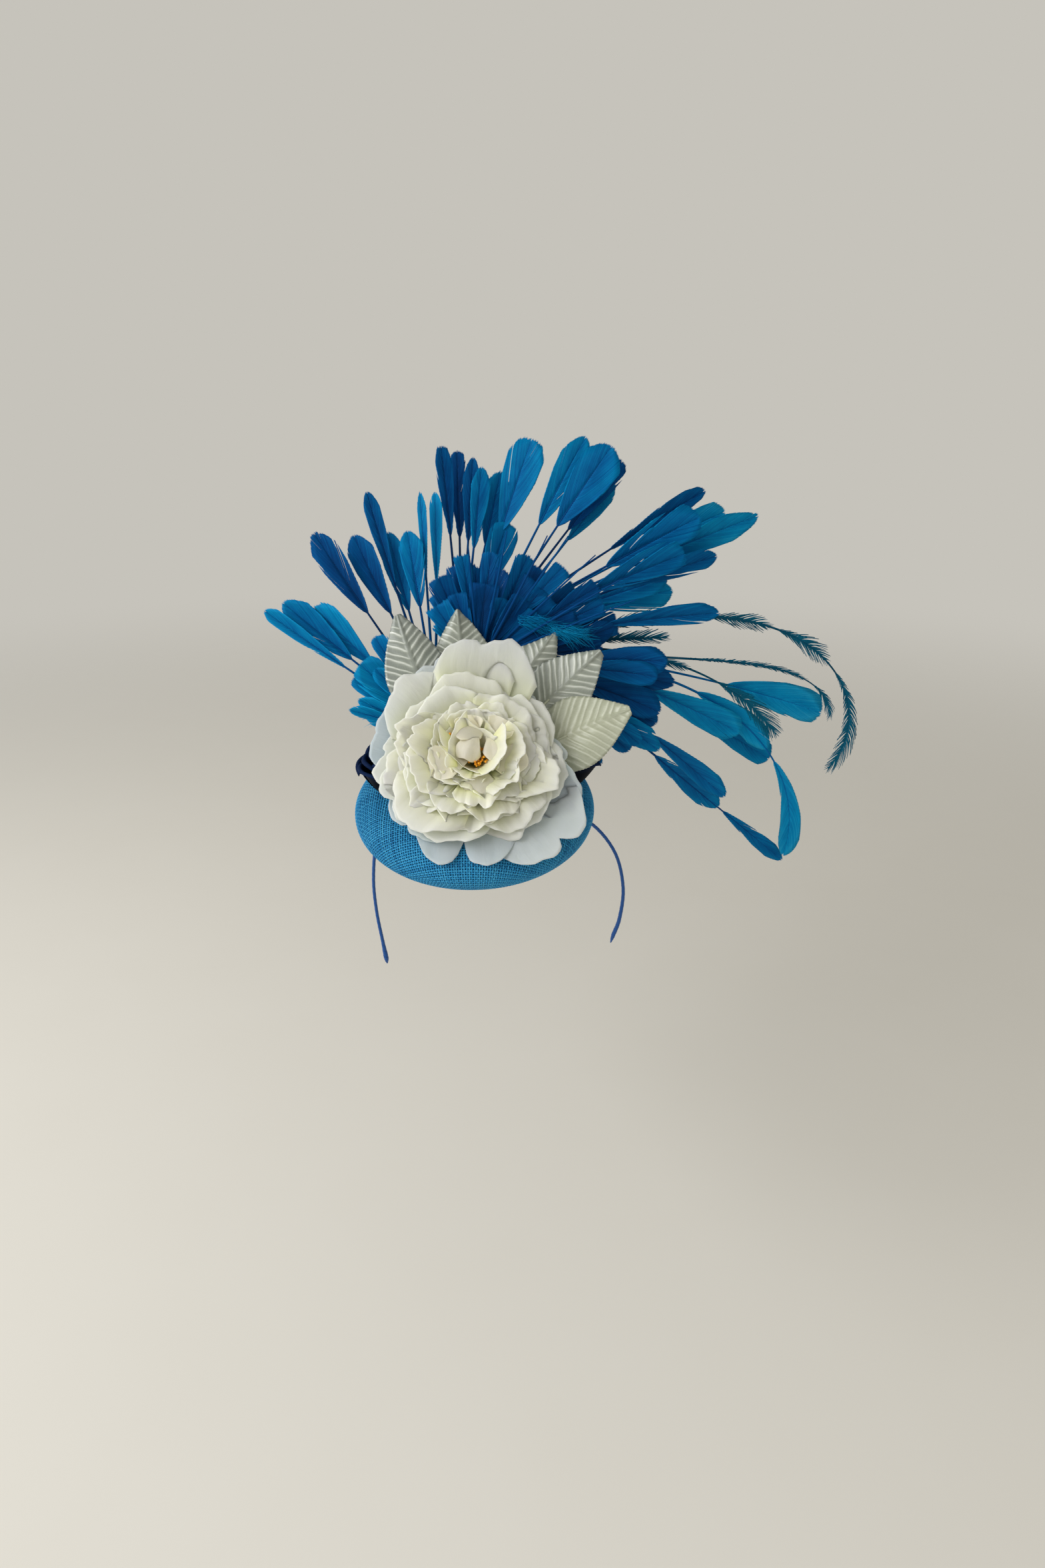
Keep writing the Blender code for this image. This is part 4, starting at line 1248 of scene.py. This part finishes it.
@dataclass
class Roses:
    """Two navy ribbon roses on the base's shoulders: a rolled bud in folded petals with turned lips."""

    base: Base
    height: float = 31.0
    wall: float = 0.5
    ribbon_width: float = 27.0
    ribbon_length: float = 310.0
    lip_start: float = 0.74
    bud_turns: float = 2.6
    roses: tuple[Rose, ...] = (
        Rose("ribbon_rose_left", (-47, -7), -10, 10, 5),
        Rose("ribbon_rose_right", (54, 4), 14, 8, 6),
    )
    rings: tuple[tuple[int, float, float, float], ...] = (
        (3, 6.5, 30.0, 150),
        (4, 11.0, 27.5, 125),
        (5, 15.5, 23.0, 110),
    )

    def petals(self, seed: int) -> Array:
        """The petals as grids: each is part of a cup whose radius swells with height and whose top rolls out.

        Args:
            seed: the rose's own number.

        Returns:
            (k, rows, columns, 3) points with the rose upright on the origin.
        """
        rng = np.random.default_rng(seed)
        u = np.linspace(-1, 1, 21)[None, :]
        v = np.linspace(0, 1, 25)[:, None]
        made = []
        for count, radius, top, span in self.rings:
            for i in range(count):
                middle = math.radians(360 * i / count + rng.uniform(-15, 15) + radius * 9)
                wide = math.radians(span / 2) * rng.uniform(0.9, 1.1)
                roll = np.clip((v - self.lip_start) / 0.26, 0, 1) * math.pi * 0.85
                lip = 2.3 * rng.uniform(0.8, 1.2)
                tall = top * rng.uniform(0.92, 1.0) - 2.2
                body = radius * (0.45 + 0.55 * np.minimum(v / self.lip_start, 1) ** 0.6)
                out = body + lip * (1 - np.cos(roll)) * 0.6 - 1.4 * np.abs(u) ** 3 + 1.2 * u
                edge = 1 - 0.22 * np.abs(u) ** 2.5 + 0.02 * np.sin(4 * u + seed)
                z = 0.6 + tall * np.minimum(v / self.lip_start, 1) * edge + lip * np.sin(roll)
                angle = middle + u * wide
                made.append(polar(out, angle, z))
        return np.array(made)[:, :, ::-1]

    def build_one(self, rose: Rose) -> None:
        """Builds a rose: its petals, and a ribbon wound in a spiral for the bud."""
        petals = self.petals(rose.seed)
        v = np.linspace(0, 1, 25)[:, None] + np.zeros((1, 21))
        turn = np.linspace(0, self.bud_turns * 2 * math.pi, 90)[None, :]
        tall = np.linspace(0, 1, 8)[:, None]
        spiral = 0.7 + 0.30 * turn
        height = 0.6 + tall * (self.height - 1.5 - 0.12 * turn)
        flare = 1 + 0.12 * tall**3
        bud = polar(spiral * flare, turn, height)
        skin = Skin()
        for sheets, share in ((petals, v), (bud[None, :, ::-1], tall + np.zeros((1, 90)))):
            lean = turned(turned(sheets, "X", rose.lean_y), "Y", rose.lean_x)
            spots = lean + self.base.on_crown(*rose.foot, 0.3)
            # painted shade: each petal and the bud are nearly black towards their foot and grow bluer towards
            # the top, as painted light where the ribbon turns to the light
            shade = np.clip((share - 0.5) * 2, 0, 1)
            cloth = joined(share * 30, 1)
            skin.shell(spots, self.wall, joined(shade, shade, shade)[None], cloth[None])
        made = skin.build(rose.name + "_satin", ROSE, [rose.name])

    def build(self) -> None:
        """Builds the two roses."""
        for rose in self.roses:
            self.build_one(rose)


class Dye(Enum):
    """Which ramp of dyes a feather is coloured from."""

    BLUE = 0.0
    TEAL = 1.0


@dataclass(frozen=True)
class Vane:
    """A stretch of barbs left on a stripped quill: from and to as shares of its length, and its width."""

    start: float
    end: float
    width: float


@dataclass(frozen=True)
class Feather:
    """A feather: its direction in degrees from the right, length, how far and how late it bends, its lean,
    its vanes, how light its colour is, partly from its dye and partly as painted light where light shines
    through it, and which dye."""

    angle: float
    length: float
    turn: float
    ease: float
    lean: float
    vanes: tuple[Vane, ...]
    tint: float
    dye: Dye = Dye.BLUE


@dataclass(frozen=True)
class Spray:
    """Feathers bound at their quills: the stem's foot on the crown, the neck, the way it aims, its feathers,
    and whether their ends are trimmed straight."""

    name: str
    foot: tuple[float, float]
    neck: tuple[float, float, float]
    aim: float
    feathers: tuple[Feather, ...]
    trimmed: bool = False


@dataclass(frozen=True)
class Tuft:
    """Down at the foot of a vane: its spray, place, direction, length, hairs and how light it is."""

    spray: str
    place: tuple[float, float, float]
    angle: float
    length: float
    hairs: int
    tint: float


def one(
    angle: float, length: float, turn: float, lean: float, start: float, width: float, tint: float
) -> Feather:
    """A plain blue feather with one vane to its tip."""
    return Feather(angle, length, turn, 1, lean, (Vane(start, 1, width),), tint)


SPRAYS = (
    Spray("feathers_low_left", (-22, 27), (-20, 24, 50), 110, (
        one(155, 57, 0, 3, 0.35, 11, 0.72),
        one(166, 50, 0, 8, 0.35, 13, 0.66),
        one(137, 68, 0, 0, 0.30, 22, 0.70),
        one(123, 74, 0, 6, 0.50, 13, 0.55),
    )),
    Spray("feathers_low_right", (30, 30), (26, 24, 97), 15, (
        one(6, 90, -8, -2, 0.35, 19, 0.36),
        one(-14, 94, -12, 3, 0.35, 19, 0.34),
        one(-28, 104, -8, -1, 0.45, 17, 0.60),
        one(-47, 84, -8, 3, 0.60, 9, 0.50),
        one(21, 62, 0, 4, 0.35, 18, 0.25),
    )),
    Spray("feathers_short_crest", (6, 30), (2, 28, 95), 80, (
        one(113, 58, 0, 2, 0.30, 16, 0.35),
        one(124, 44, 0, -2, 0.30, 17, 0.50),
        one(98, 60, 0, 5, 0.35, 15, 0.28),
        one(84, 50, 0, 0, 0.30, 18, 0.24),
        one(66, 62, -6, 4, 0.35, 18, 0.30),
        one(48, 60, -6, 0, 0.30, 20, 0.34),
        one(33, 66, -6, 4, 0.35, 17, 0.26),
    ), True),
    Spray("feathers_left", (-13, 36), (-13, 33, 46), 110, (
        one(147, 140, -4, 3, 0.58, 10, 0.66),
        one(139, 118, -4, 7, 0.58, 22, 0.66),
        one(126, 150, -3, 9, 0.62, 18, 0.30),
        one(143, 134, -4, 5, 0.60, 18, 0.60),
    )),
    Spray("feathers_trailing", (18, 38), (7, 35, 104), 10, (
        one(15, 142, -12, 0, 0.52, 15, 0.50),
        Feather(5, 112, -4, 1, 2, (Vane(0.56, 1, 11),), 0.45, Dye.TEAL),
        Feather(11, 305, -140, 2.9, 3, (
            Vane(0.23, 0.36, 12), Vane(0.44, 0.58, 13), Vane(0.60, 0.73, 13), Vane(0.76, 1, 11),
        ), 0.55, Dye.TEAL),
        Feather(-3, 232, -85, 8, 1, (Vane(0.48, 0.86, 4), Vane(0.89, 1, 6)), 0.5, Dye.TEAL),
    )),
    Spray("feathers_dropping", (34, 42), (29, 42, 103), -10, (
        one(-8, 202, -12, 6, 0.66, 22, 0.80),
        one(-15, 150, -14, 0, 0.56, 22, 0.72),
        Feather(0, 182, -54, 1.7, 1, (Vane(0.38, 0.58, 8), Vane(0.70, 1, 15)), 0.6, Dye.TEAL),
        Feather(-9, 260, -94, 2.0, 2, (Vane(0.44, 0.68, 16), Vane(0.72, 1, 14)), 0.78),
        one(-19, 188, -16, 9, 0.66, 18, 0.68),
        Feather(-41, 240, 0, 1, 5, (Vane(0.48, 0.73, 18), Vane(0.75, 1, 11)), 0.58),
        one(-31, 166, -12, 0, 0.60, 16, 0.55),
    )),
    Spray("feathers_right", (2, 44), (-3, 46, 104), 25, (
        one(27, 192, -8, 7, 0.60, 19, 0.72),
        one(34, 170, -5, 11, 0.60, 12, 0.42),
        one(31, 158, -4, 1, 0.60, 22, 0.55),
        one(26, 140, -4, -3, 0.58, 21, 0.52),
        one(15, 131, -6, 14, 0.62, 19, 0.74),
        one(22, 160, -6, 4, 0.62, 15, 0.48),
    )),
    Spray("feathers_top_left", (-26, 46), (-27, 46, 71), 100, (
        one(111, 128, -6, 12, 0.55, 10, 0.40),
        one(119, 108, -6, 8, 0.52, 18, 0.36),
        one(98, 101, 0, 6, 0.54, 16, 0.60),
        one(108, 101, -4, 16, 0.52, 16, 0.58),
        one(93, 122, 0, 10, 0.58, 6, 0.66),
        one(87, 121, 4, 13, 0.56, 9, 0.70),
    )),
    Spray("feathers_top_right", (12, 50), (-1, 51, 95), 55, (
        one(64, 146, -4, 13, 0.60, 19, 0.66),
        one(58, 150, -4, 8, 0.62, 26, 0.56),
        one(53, 147, -4, 15, 0.64, 15, 0.30),
        one(49, 134, 0, 20, 0.66, 15, 0.70),
    )),
    Spray("feathers_top", (-8, 52), (-10, 56, 93), 85, (
        one(94, 126, 2, 12, 0.58, 11, 0.36),
        one(90, 122, 2, 18, 0.58, 12, 0.26),
        one(86, 119, 0, 14, 0.58, 11, 0.40),
        one(82, 115, 2, 9, 0.58, 12, 0.60),
        one(72, 137, -2, 12, 0.58, 24, 0.62),
        one(77, 112, 0, 21, 0.60, 19, 0.60),
        one(68, 86, 4, 13, 0.50, 19, 0.58),
    )),
)

FILL = {
    "feathers_short_crest": (
        one(118, 50, 0, 3, 0.30, 13, 0.42),
        one(106, 46, 0, -3, 0.30, 12, 0.34),
        one(103, 60, 0, 8, 0.35, 12, 0.30),
        one(91, 58, 0, 9, 0.35, 12, 0.36),
        one(78, 60, -4, 2, 0.30, 12, 0.22),
        one(72, 44, -4, -4, 0.30, 13, 0.40),
        one(60, 50, -4, -3, 0.30, 13, 0.28),
        one(57, 68, -4, 9, 0.35, 13, 0.26),
        one(44, 48, -4, -5, 0.25, 13, 0.46),
        one(40, 74, -6, 8, 0.35, 14, 0.36),
        one(29, 84, -6, 3, 0.40, 14, 0.40),
        one(24, 60, -4, -4, 0.30, 13, 0.24),
        one(20, 88, -8, 7, 0.40, 15, 0.32),
        one(12, 76, -6, 1, 0.40, 14, 0.26),
        one(132, 36, 0, 2, 0.20, 12, 0.58),
        one(52, 78, -5, 3, 0.50, 12, 0.48),
        one(36, 86, -5, 2, 0.55, 12, 0.30),
        one(96, 66, 3, 3, 0.50, 10, 0.52),
        one(84, 68, -3, 5, 0.50, 11, 0.38),
        one(64, 72, 3, 3, 0.45, 12, 0.44),
        Feather(55, 98, 2, 1, -6, (), 0.62),
        Feather(61, 92, 3, 1, -5, (), 0.55),
        Feather(76, 86, 3, 1, -6, (), 0.62),
        Feather(46, 100, -3, 1, -6, (), 0.60),
        Feather(35, 104, -4, 1, -6, (), 0.58),
        Feather(27, 106, -5, 1, -6, (), 0.62),
        Feather(93, 80, 1, 1, -6, (), 0.56),
    ),
    "feathers_low_right": (
        one(-20, 96, -10, 6, 0.42, 20, 0.36),
        one(-4, 98, -10, 6, 0.42, 20, 0.30),
        one(-36, 92, -8, 5, 0.50, 15, 0.44),
        one(1, 84, -10, -4, 0.40, 15, 0.42),
        one(-26, 90, -14, -4, 0.50, 14, 0.50),
    ),
    "feathers_low_left": (
        one(145, 66, 0, 4, 0.35, 15, 0.60),
        one(131, 60, 0, -4, 0.40, 13, 0.62),
        one(160, 60, 4, -3, 0.45, 9, 0.70),
    ),
    "feathers_right": (
        one(29, 176, -7, 12, 0.62, 18, 0.78),
        one(19, 128, -4, 8, 0.60, 16, 0.60),
    ),
}

TUFTS = (
    Tuft("feathers_short_crest", (54, 22, 121), -18, 18, 150, 0.76),
    Tuft("feathers_short_crest", (35, 23, 127), -22, 17, 110, 0.66),
    Tuft("feathers_low_left", (-47, 25, 63), 174, 15, 60, 0.92),
)


@dataclass
class Plumage:
    """The ten sprays of coque feathers."""

    base: Base
    quill_root: float = 2.0
    quill_tip: float = 0.6
    spacing: float = 1.35
    wall: float = 0.12
    root_step: float = 1.5
    outline_share: tuple[float, ...] = (0.0, 0.3, 0.6, 0.82, 1.0)
    outline_width: tuple[float, ...] = (0.12, 0.6, 0.94, 1.0, 0.82)

    def line(self, feather: Feather, neck: Array, depth: float, share: Array) -> tuple[Array, Array]:
        """The quill's middle: its direction turns by a power of the way along, and its place sums the steps.

        Args:
            feather: its sizes.
            neck: the spray's neck.
            depth: offset of its root, front to back.
            share: shares of the length.

        Returns:
            Places and unit directions, one row for each share.
        """
        fine = np.linspace(0, 1.1, 441)
        way = np.radians(feather.angle + feather.turn * fine**feather.ease)
        step = feather.length * (fine[1] - fine[0])
        x = np.concatenate([[0], np.cumsum((np.cos(way[1:]) + np.cos(way[:-1])) / 2 * step)])
        z = np.concatenate([[0], np.cumsum((np.sin(way[1:]) + np.sin(way[:-1])) / 2 * step)])
        slope = math.tan(math.radians(feather.lean))
        here = np.interp(share, fine, way)
        spot = joined(
            neck[0] + np.interp(share, fine, x),
            neck[1] + depth + feather.length * slope * share,
            neck[2] + np.interp(share, fine, z),
        )
        return spot, unit(joined(np.cos(here), slope, np.sin(here)))

    def vane(
        self,
        skin: Skin,
        feather: Feather,
        vane: Vane,
        neck: Array,
        depth: float,
        trimmed: bool,
        rng: np.random.Generator,
    ) -> None:
        """Adds a vane's barbs. A barb leaves the quill at a slant: its way out is its reach times a power of
        the way along it, and its way forward is that reach over the slant's tangent. Its reach is the vane's
        half width where it ends, found by averaging twelve times, and no more than the room left before the
        tip, which is rounded by the square of the reach. A barb that ends at the tip is cut square across
        the quill. Each barb laps its neighbour. They part at a few splits, a few bites are missing along the
        edge, and teal ones stand looser.

        Args:
            skin: where the barbs go.
            feather: the feather.
            vane: the vane.
            neck: the spray's neck.
            depth: offset of its root, front to back.
            trimmed: whether its end is cut straight.
            rng: the seeded source of small differences.
        """
        long = (vane.end - vane.start) * feather.length
        count = max(12, int(long / self.spacing))
        root = (np.arange(count) + 0.5) / count * 0.98
        roll = math.radians(rng.uniform(-24, 24))
        blunt = rng.uniform(0.04, 0.24)
        ragged = rng.uniform(0.05, 0.35)
        outline = np.array(self.outline_width) * (1, 1, 1, 1, rng.uniform(0.7, 1.1))
        if trimmed:
            blunt, ragged = rng.uniform(0.0, 0.06), rng.uniform(0.05, 0.4)
            outline = np.array((0.25, 0.62, 0.86, 0.95, 1.0))
        loose = feather.dye is Dye.TEAL
        laps = (1.1, 0.9, 0.55) if loose else (1.2, 1.5, 2.2)
        uneven = rng.uniform(-0.16, 0.16)
        b = np.linspace(0, 1, 6)
        for side in (-1.0, 1.0):
            half = vane.width / 2 * (1 + side * uneven)
            spread = rng.uniform(0.9, 1.2)
            slant = np.radians(np.interp(root, [0, 1], [19, 13]) * spread * (1.8 if loose else 1.0))
            end = np.minimum(root + 0.2, 1)
            reach = half * (1 - root)
            bite = np.ones(count)
            for _ in range(rng.integers(0, 3)):
                far = (root - rng.uniform(0.05, 0.75)) / rng.uniform(0.02, 0.07)
                bite -= rng.uniform(0.1, 0.4) * np.exp(-(far**2)) * (far > -0.4)
            for _ in range(12):
                wide = half * np.interp(end, self.outline_share, outline) * bite
                room = (1.0 - blunt * (reach / half) ** 2 - root).clip(0.015) * long
                reach = (reach + np.minimum(wide, room * np.tan(slant))) / 2
                end = np.clip(root + reach / np.tan(slant) / long, 0, 1)
            ahead = reach / np.tan(slant) / long
            tip = end > 0.97 - blunt
            ahead = ahead + np.where(tip, rng.normal(0, ragged, count) / long, 0)
            if loose:
                ahead = ahead + np.abs(rng.normal(0, 1.6, count)) / long
                reach = reach * rng.uniform(0.72, 1.12, count)
            cut = np.where(tip, 0.98 / count / ahead, 0.0).clip(0, 0.8)
            split = np.zeros(count)
            for _ in range(rng.integers(0, 3) + 4 * loose):
                at = rng.uniform(0.1, 0.9)
                split += np.sign(root - at) * rng.uniform(0.0, 0.010) * np.exp(-np.abs(root - at) / 0.12)
            edges = []
            for edge in (-0.5, 0.5):
                lap = np.interp(b, [0, 0.6, 1], laps)[None]
                start = root[:, None] + edge * 0.98 / count * lap
                way = b[None] * (1 - edge * cut[:, None])
                share = start + ahead[:, None] * way**1.15 + split[:, None] * way**2
                reached = (vane.start + share * (vane.end - vane.start)).ravel()
                spot, along = self.line(feather, neck, depth, reached)
                across = unit(joined(-along[:, 2], 0 * along[:, 0], along[:, 0]))
                front = np.cross(along, across)
                tilted = across * math.cos(roll) + front * math.sin(roll)
                face = front * math.cos(roll) - across * math.sin(roll)
                out = (reach[:, None] * way**0.8).ravel()[:, None]
                camber = -0.12 * out**2 / half + edge * 0.12 + 0.15
                edges.append((spot + side * tilted * out + face * camber).reshape(count, len(b), 3))
            sheet = np.stack(edges if side > 0 else edges[::-1], axis=2)
            # painted light: each barb grows lighter from the quill to its end, partly its dye and partly
            # standing for light passing through the thin edge; the rest differs at random from barb to barb
            shade = feather.tint + rng.normal(0, 0.04, count)[:, None] + 0.16 * b[None] - 0.08
            shade = np.clip(shade, 0, 1)[..., None] + np.zeros((1, 1, 2))
            tone = joined(shade, feather.dye.value, 0)
            skin.shell(sheet, self.wall, tone)

    def feather(
        self, skin: Skin, feather: Feather, neck: Array, depth: float, trimmed: bool, rng: np.random.Generator
    ) -> None:
        """Adds a feather: a tapering quill with its vanes."""
        share = np.linspace(0, 0.97, max(24, int(feather.length / 3)))
        path, _ = self.line(feather, neck, depth, share)
        size = np.interp(share, [0, 0.5, 1], [1.0, 0.75, self.quill_tip / self.quill_root])
        dark = max(feather.tint - 0.3, 0.05)
        skin.sweep(path, (0, -1, 0), oval(self.quill_root, 1.2, 8), size, (dark, feather.dye.value, 1))
        for vane in feather.vanes:
            self.vane(skin, feather, vane, neck, depth, trimmed, rng)

    def tuft(self, skin: Skin, tuft: Tuft, rng: np.random.Generator) -> None:
        """Adds down: fine hairs that leave one place, fan out and curl. A hair's direction turns by a power
        of the way along it, and its width narrows towards its end."""
        share = np.linspace(0, 1, 9)[None]
        n = tuft.hairs
        way = np.radians(tuft.angle + rng.normal(0, 9, (n, 1)) + rng.normal(0, 26, (n, 1)) * share**1.5)
        long = tuft.length * rng.uniform(0.5, 1.1, (n, 1))
        step = long / 8
        x = np.cumsum(np.cos(way) * step, axis=1) - step + rng.uniform(-9, 5, (n, 1))
        z = np.cumsum(np.sin(way) * step, axis=1) - step + rng.uniform(-2.5, 2.5, (n, 1))
        y = rng.normal(0, 2, (n, 1)) * share + rng.uniform(-1, 1, (n, 1))
        wide = 0.24 * (1 - 0.7 * share)
        sides = [
            joined(x - e * wide * np.sin(way), y, z + e * wide * np.cos(way))
            for e in (-0.5, 0.5)
        ]
        sheet = np.stack(sides, axis=2) + np.array(tuft.place)
        tone = np.array([tuft.tint, 0, 0]) + rng.normal(0, 0.05, (n, 1, 1, 1)) * np.array([1.0, 0, 0])
        skin.shell(sheet, self.wall, tone)

    def build_spray(self, number: int, spray: Spray) -> None:
        """Builds a spray: the bound stem and all its feathers as one piece."""
        rng = np.random.default_rng(70 + number)
        neck = np.array(spray.neck, float)
        foot = self.base.on_crown(*spray.foot)
        height = np.linalg.norm(neck - foot)
        low = self.base.on_crown(*spray.foot, 0.3 * height)
        aim = np.array([math.cos(math.radians(spray.aim)), 0, math.sin(math.radians(spray.aim))])
        path = catmull_rom([foot, low, neck - aim * 0.15 * height, neck, neck + aim * 8], 10)
        skin = Skin()
        size = np.interp(np.linspace(0, 1, len(path)), [0, 0.5, 0.85, 1], [0.9, 1.0, 1.1, 0.5])
        skin.sweep(path, (0, -1, 0), oval(4.2, 4.2, 14), size, (0.1, 0, 1))
        for group in (spray.feathers, FILL.get(spray.name, ())):
            for i, feather in enumerate(group):
                self.feather(skin, feather, neck, self.root_step * (i % 3 - 1), spray.trimmed, rng)
        for tuft in TUFTS:
            if tuft.spray == spray.name:
                self.tuft(skin, tuft, rng)
        skin.build(spray.name + "_coque", FEATHER, [spray.name])

    def build(self) -> None:
        """Builds the ten sprays."""
        for number, spray in enumerate(SPRAYS):
            self.build_spray(number, spray)


@dataclass
class Studio:
    """The camera, the pale surroundings and the soft light."""

    eye: tuple[float, float, float] = (0.029, -0.5646, 0.2566)
    down: float = 68.0
    lens: float = 22.96
    wall_tint: str = "#c6c3bb"
    wall_light: float = 0.68
    floor: float = -0.30

    def build_camera(self) -> None:
        """The camera at the photograph's place."""
        data = bpy.data.cameras.new("camera")
        data.lens = self.lens
        data.sensor_width = 36.0
        camera = bpy.data.objects.new("camera", data)
        camera.location = self.eye
        camera.rotation_euler = (math.radians(self.down), 0, 0)
        bpy.context.scene.collection.objects.link(camera)
        bpy.context.scene.camera = camera

    def build_light(self) -> None:
        """A pale world, one large soft light from the upper left and a weaker one from the right."""
        scene = bpy.context.scene
        scene.view_settings.view_transform = "Standard"
        world = bpy.data.worlds.new("studio")
        world.use_nodes = True
        back = world.node_tree.nodes["Background"]
        back.inputs["Color"].default_value = linear(self.wall_tint)
        seen = add_node(world.node_tree, "ShaderNodeLightPath")
        add_node(
            world.node_tree,
            "ShaderNodeMath",
            {"operation": "MULTIPLY_ADD", 1: 1.0 - self.wall_light, 2: self.wall_light},
            {0: seen.outputs["Is Camera Ray"]},
            {"Value": back.inputs["Strength"]},
        )
        scene.world = world
        for name, place, aim, size, power in (
            ("key", (-1.35, -0.6, 0.95), (0, 0, 0.05), 1.5, 25.0),
            ("fill", (0.1, -1.3, 0.7), (0, 0, 0.05), 1.2, 3.0),
        ):
            data = bpy.data.lights.new(name, "AREA")
            data.size = size
            data.energy = power
            lamp = bpy.data.objects.new(name, data)
            lamp.location = place
            way = Vector(place) - Vector(aim)
            lamp.rotation_euler = way.to_track_quat("Z", "Y").to_euler()
            scene.collection.objects.link(lamp)

    def build_floor(self) -> None:
        """A wide pale floor that fades into the surroundings."""
        turn = np.arange(64) * 2 * np.pi / 64
        ring = polar(4, turn, self.floor)
        mesh = bpy.data.meshes.new("floor")
        mesh.from_pydata(ring.tolist(), [], [tuple(range(64))])
        mesh.materials.append(PAPER.material())
        floor = bpy.data.objects.new("floor", mesh)
        bpy.context.scene.collection.objects.link(floor)

    def build(self) -> None:
        """Builds the studio."""
        self.build_camera()
        self.build_light()
        self.build_floor()


def main() -> None:
    """Builds every piece in order."""
    logging.basicConfig(level=logging.INFO, format="%(message)s")
    Studio().build()
    base = Base()
    base.build()
    Headband().build()
    peony = Peony(base)
    peony.build()
    Leaves(peony).build()
    Roses(base).build()
    Plumage(base).build()


if __name__ == "__main__":
    main()
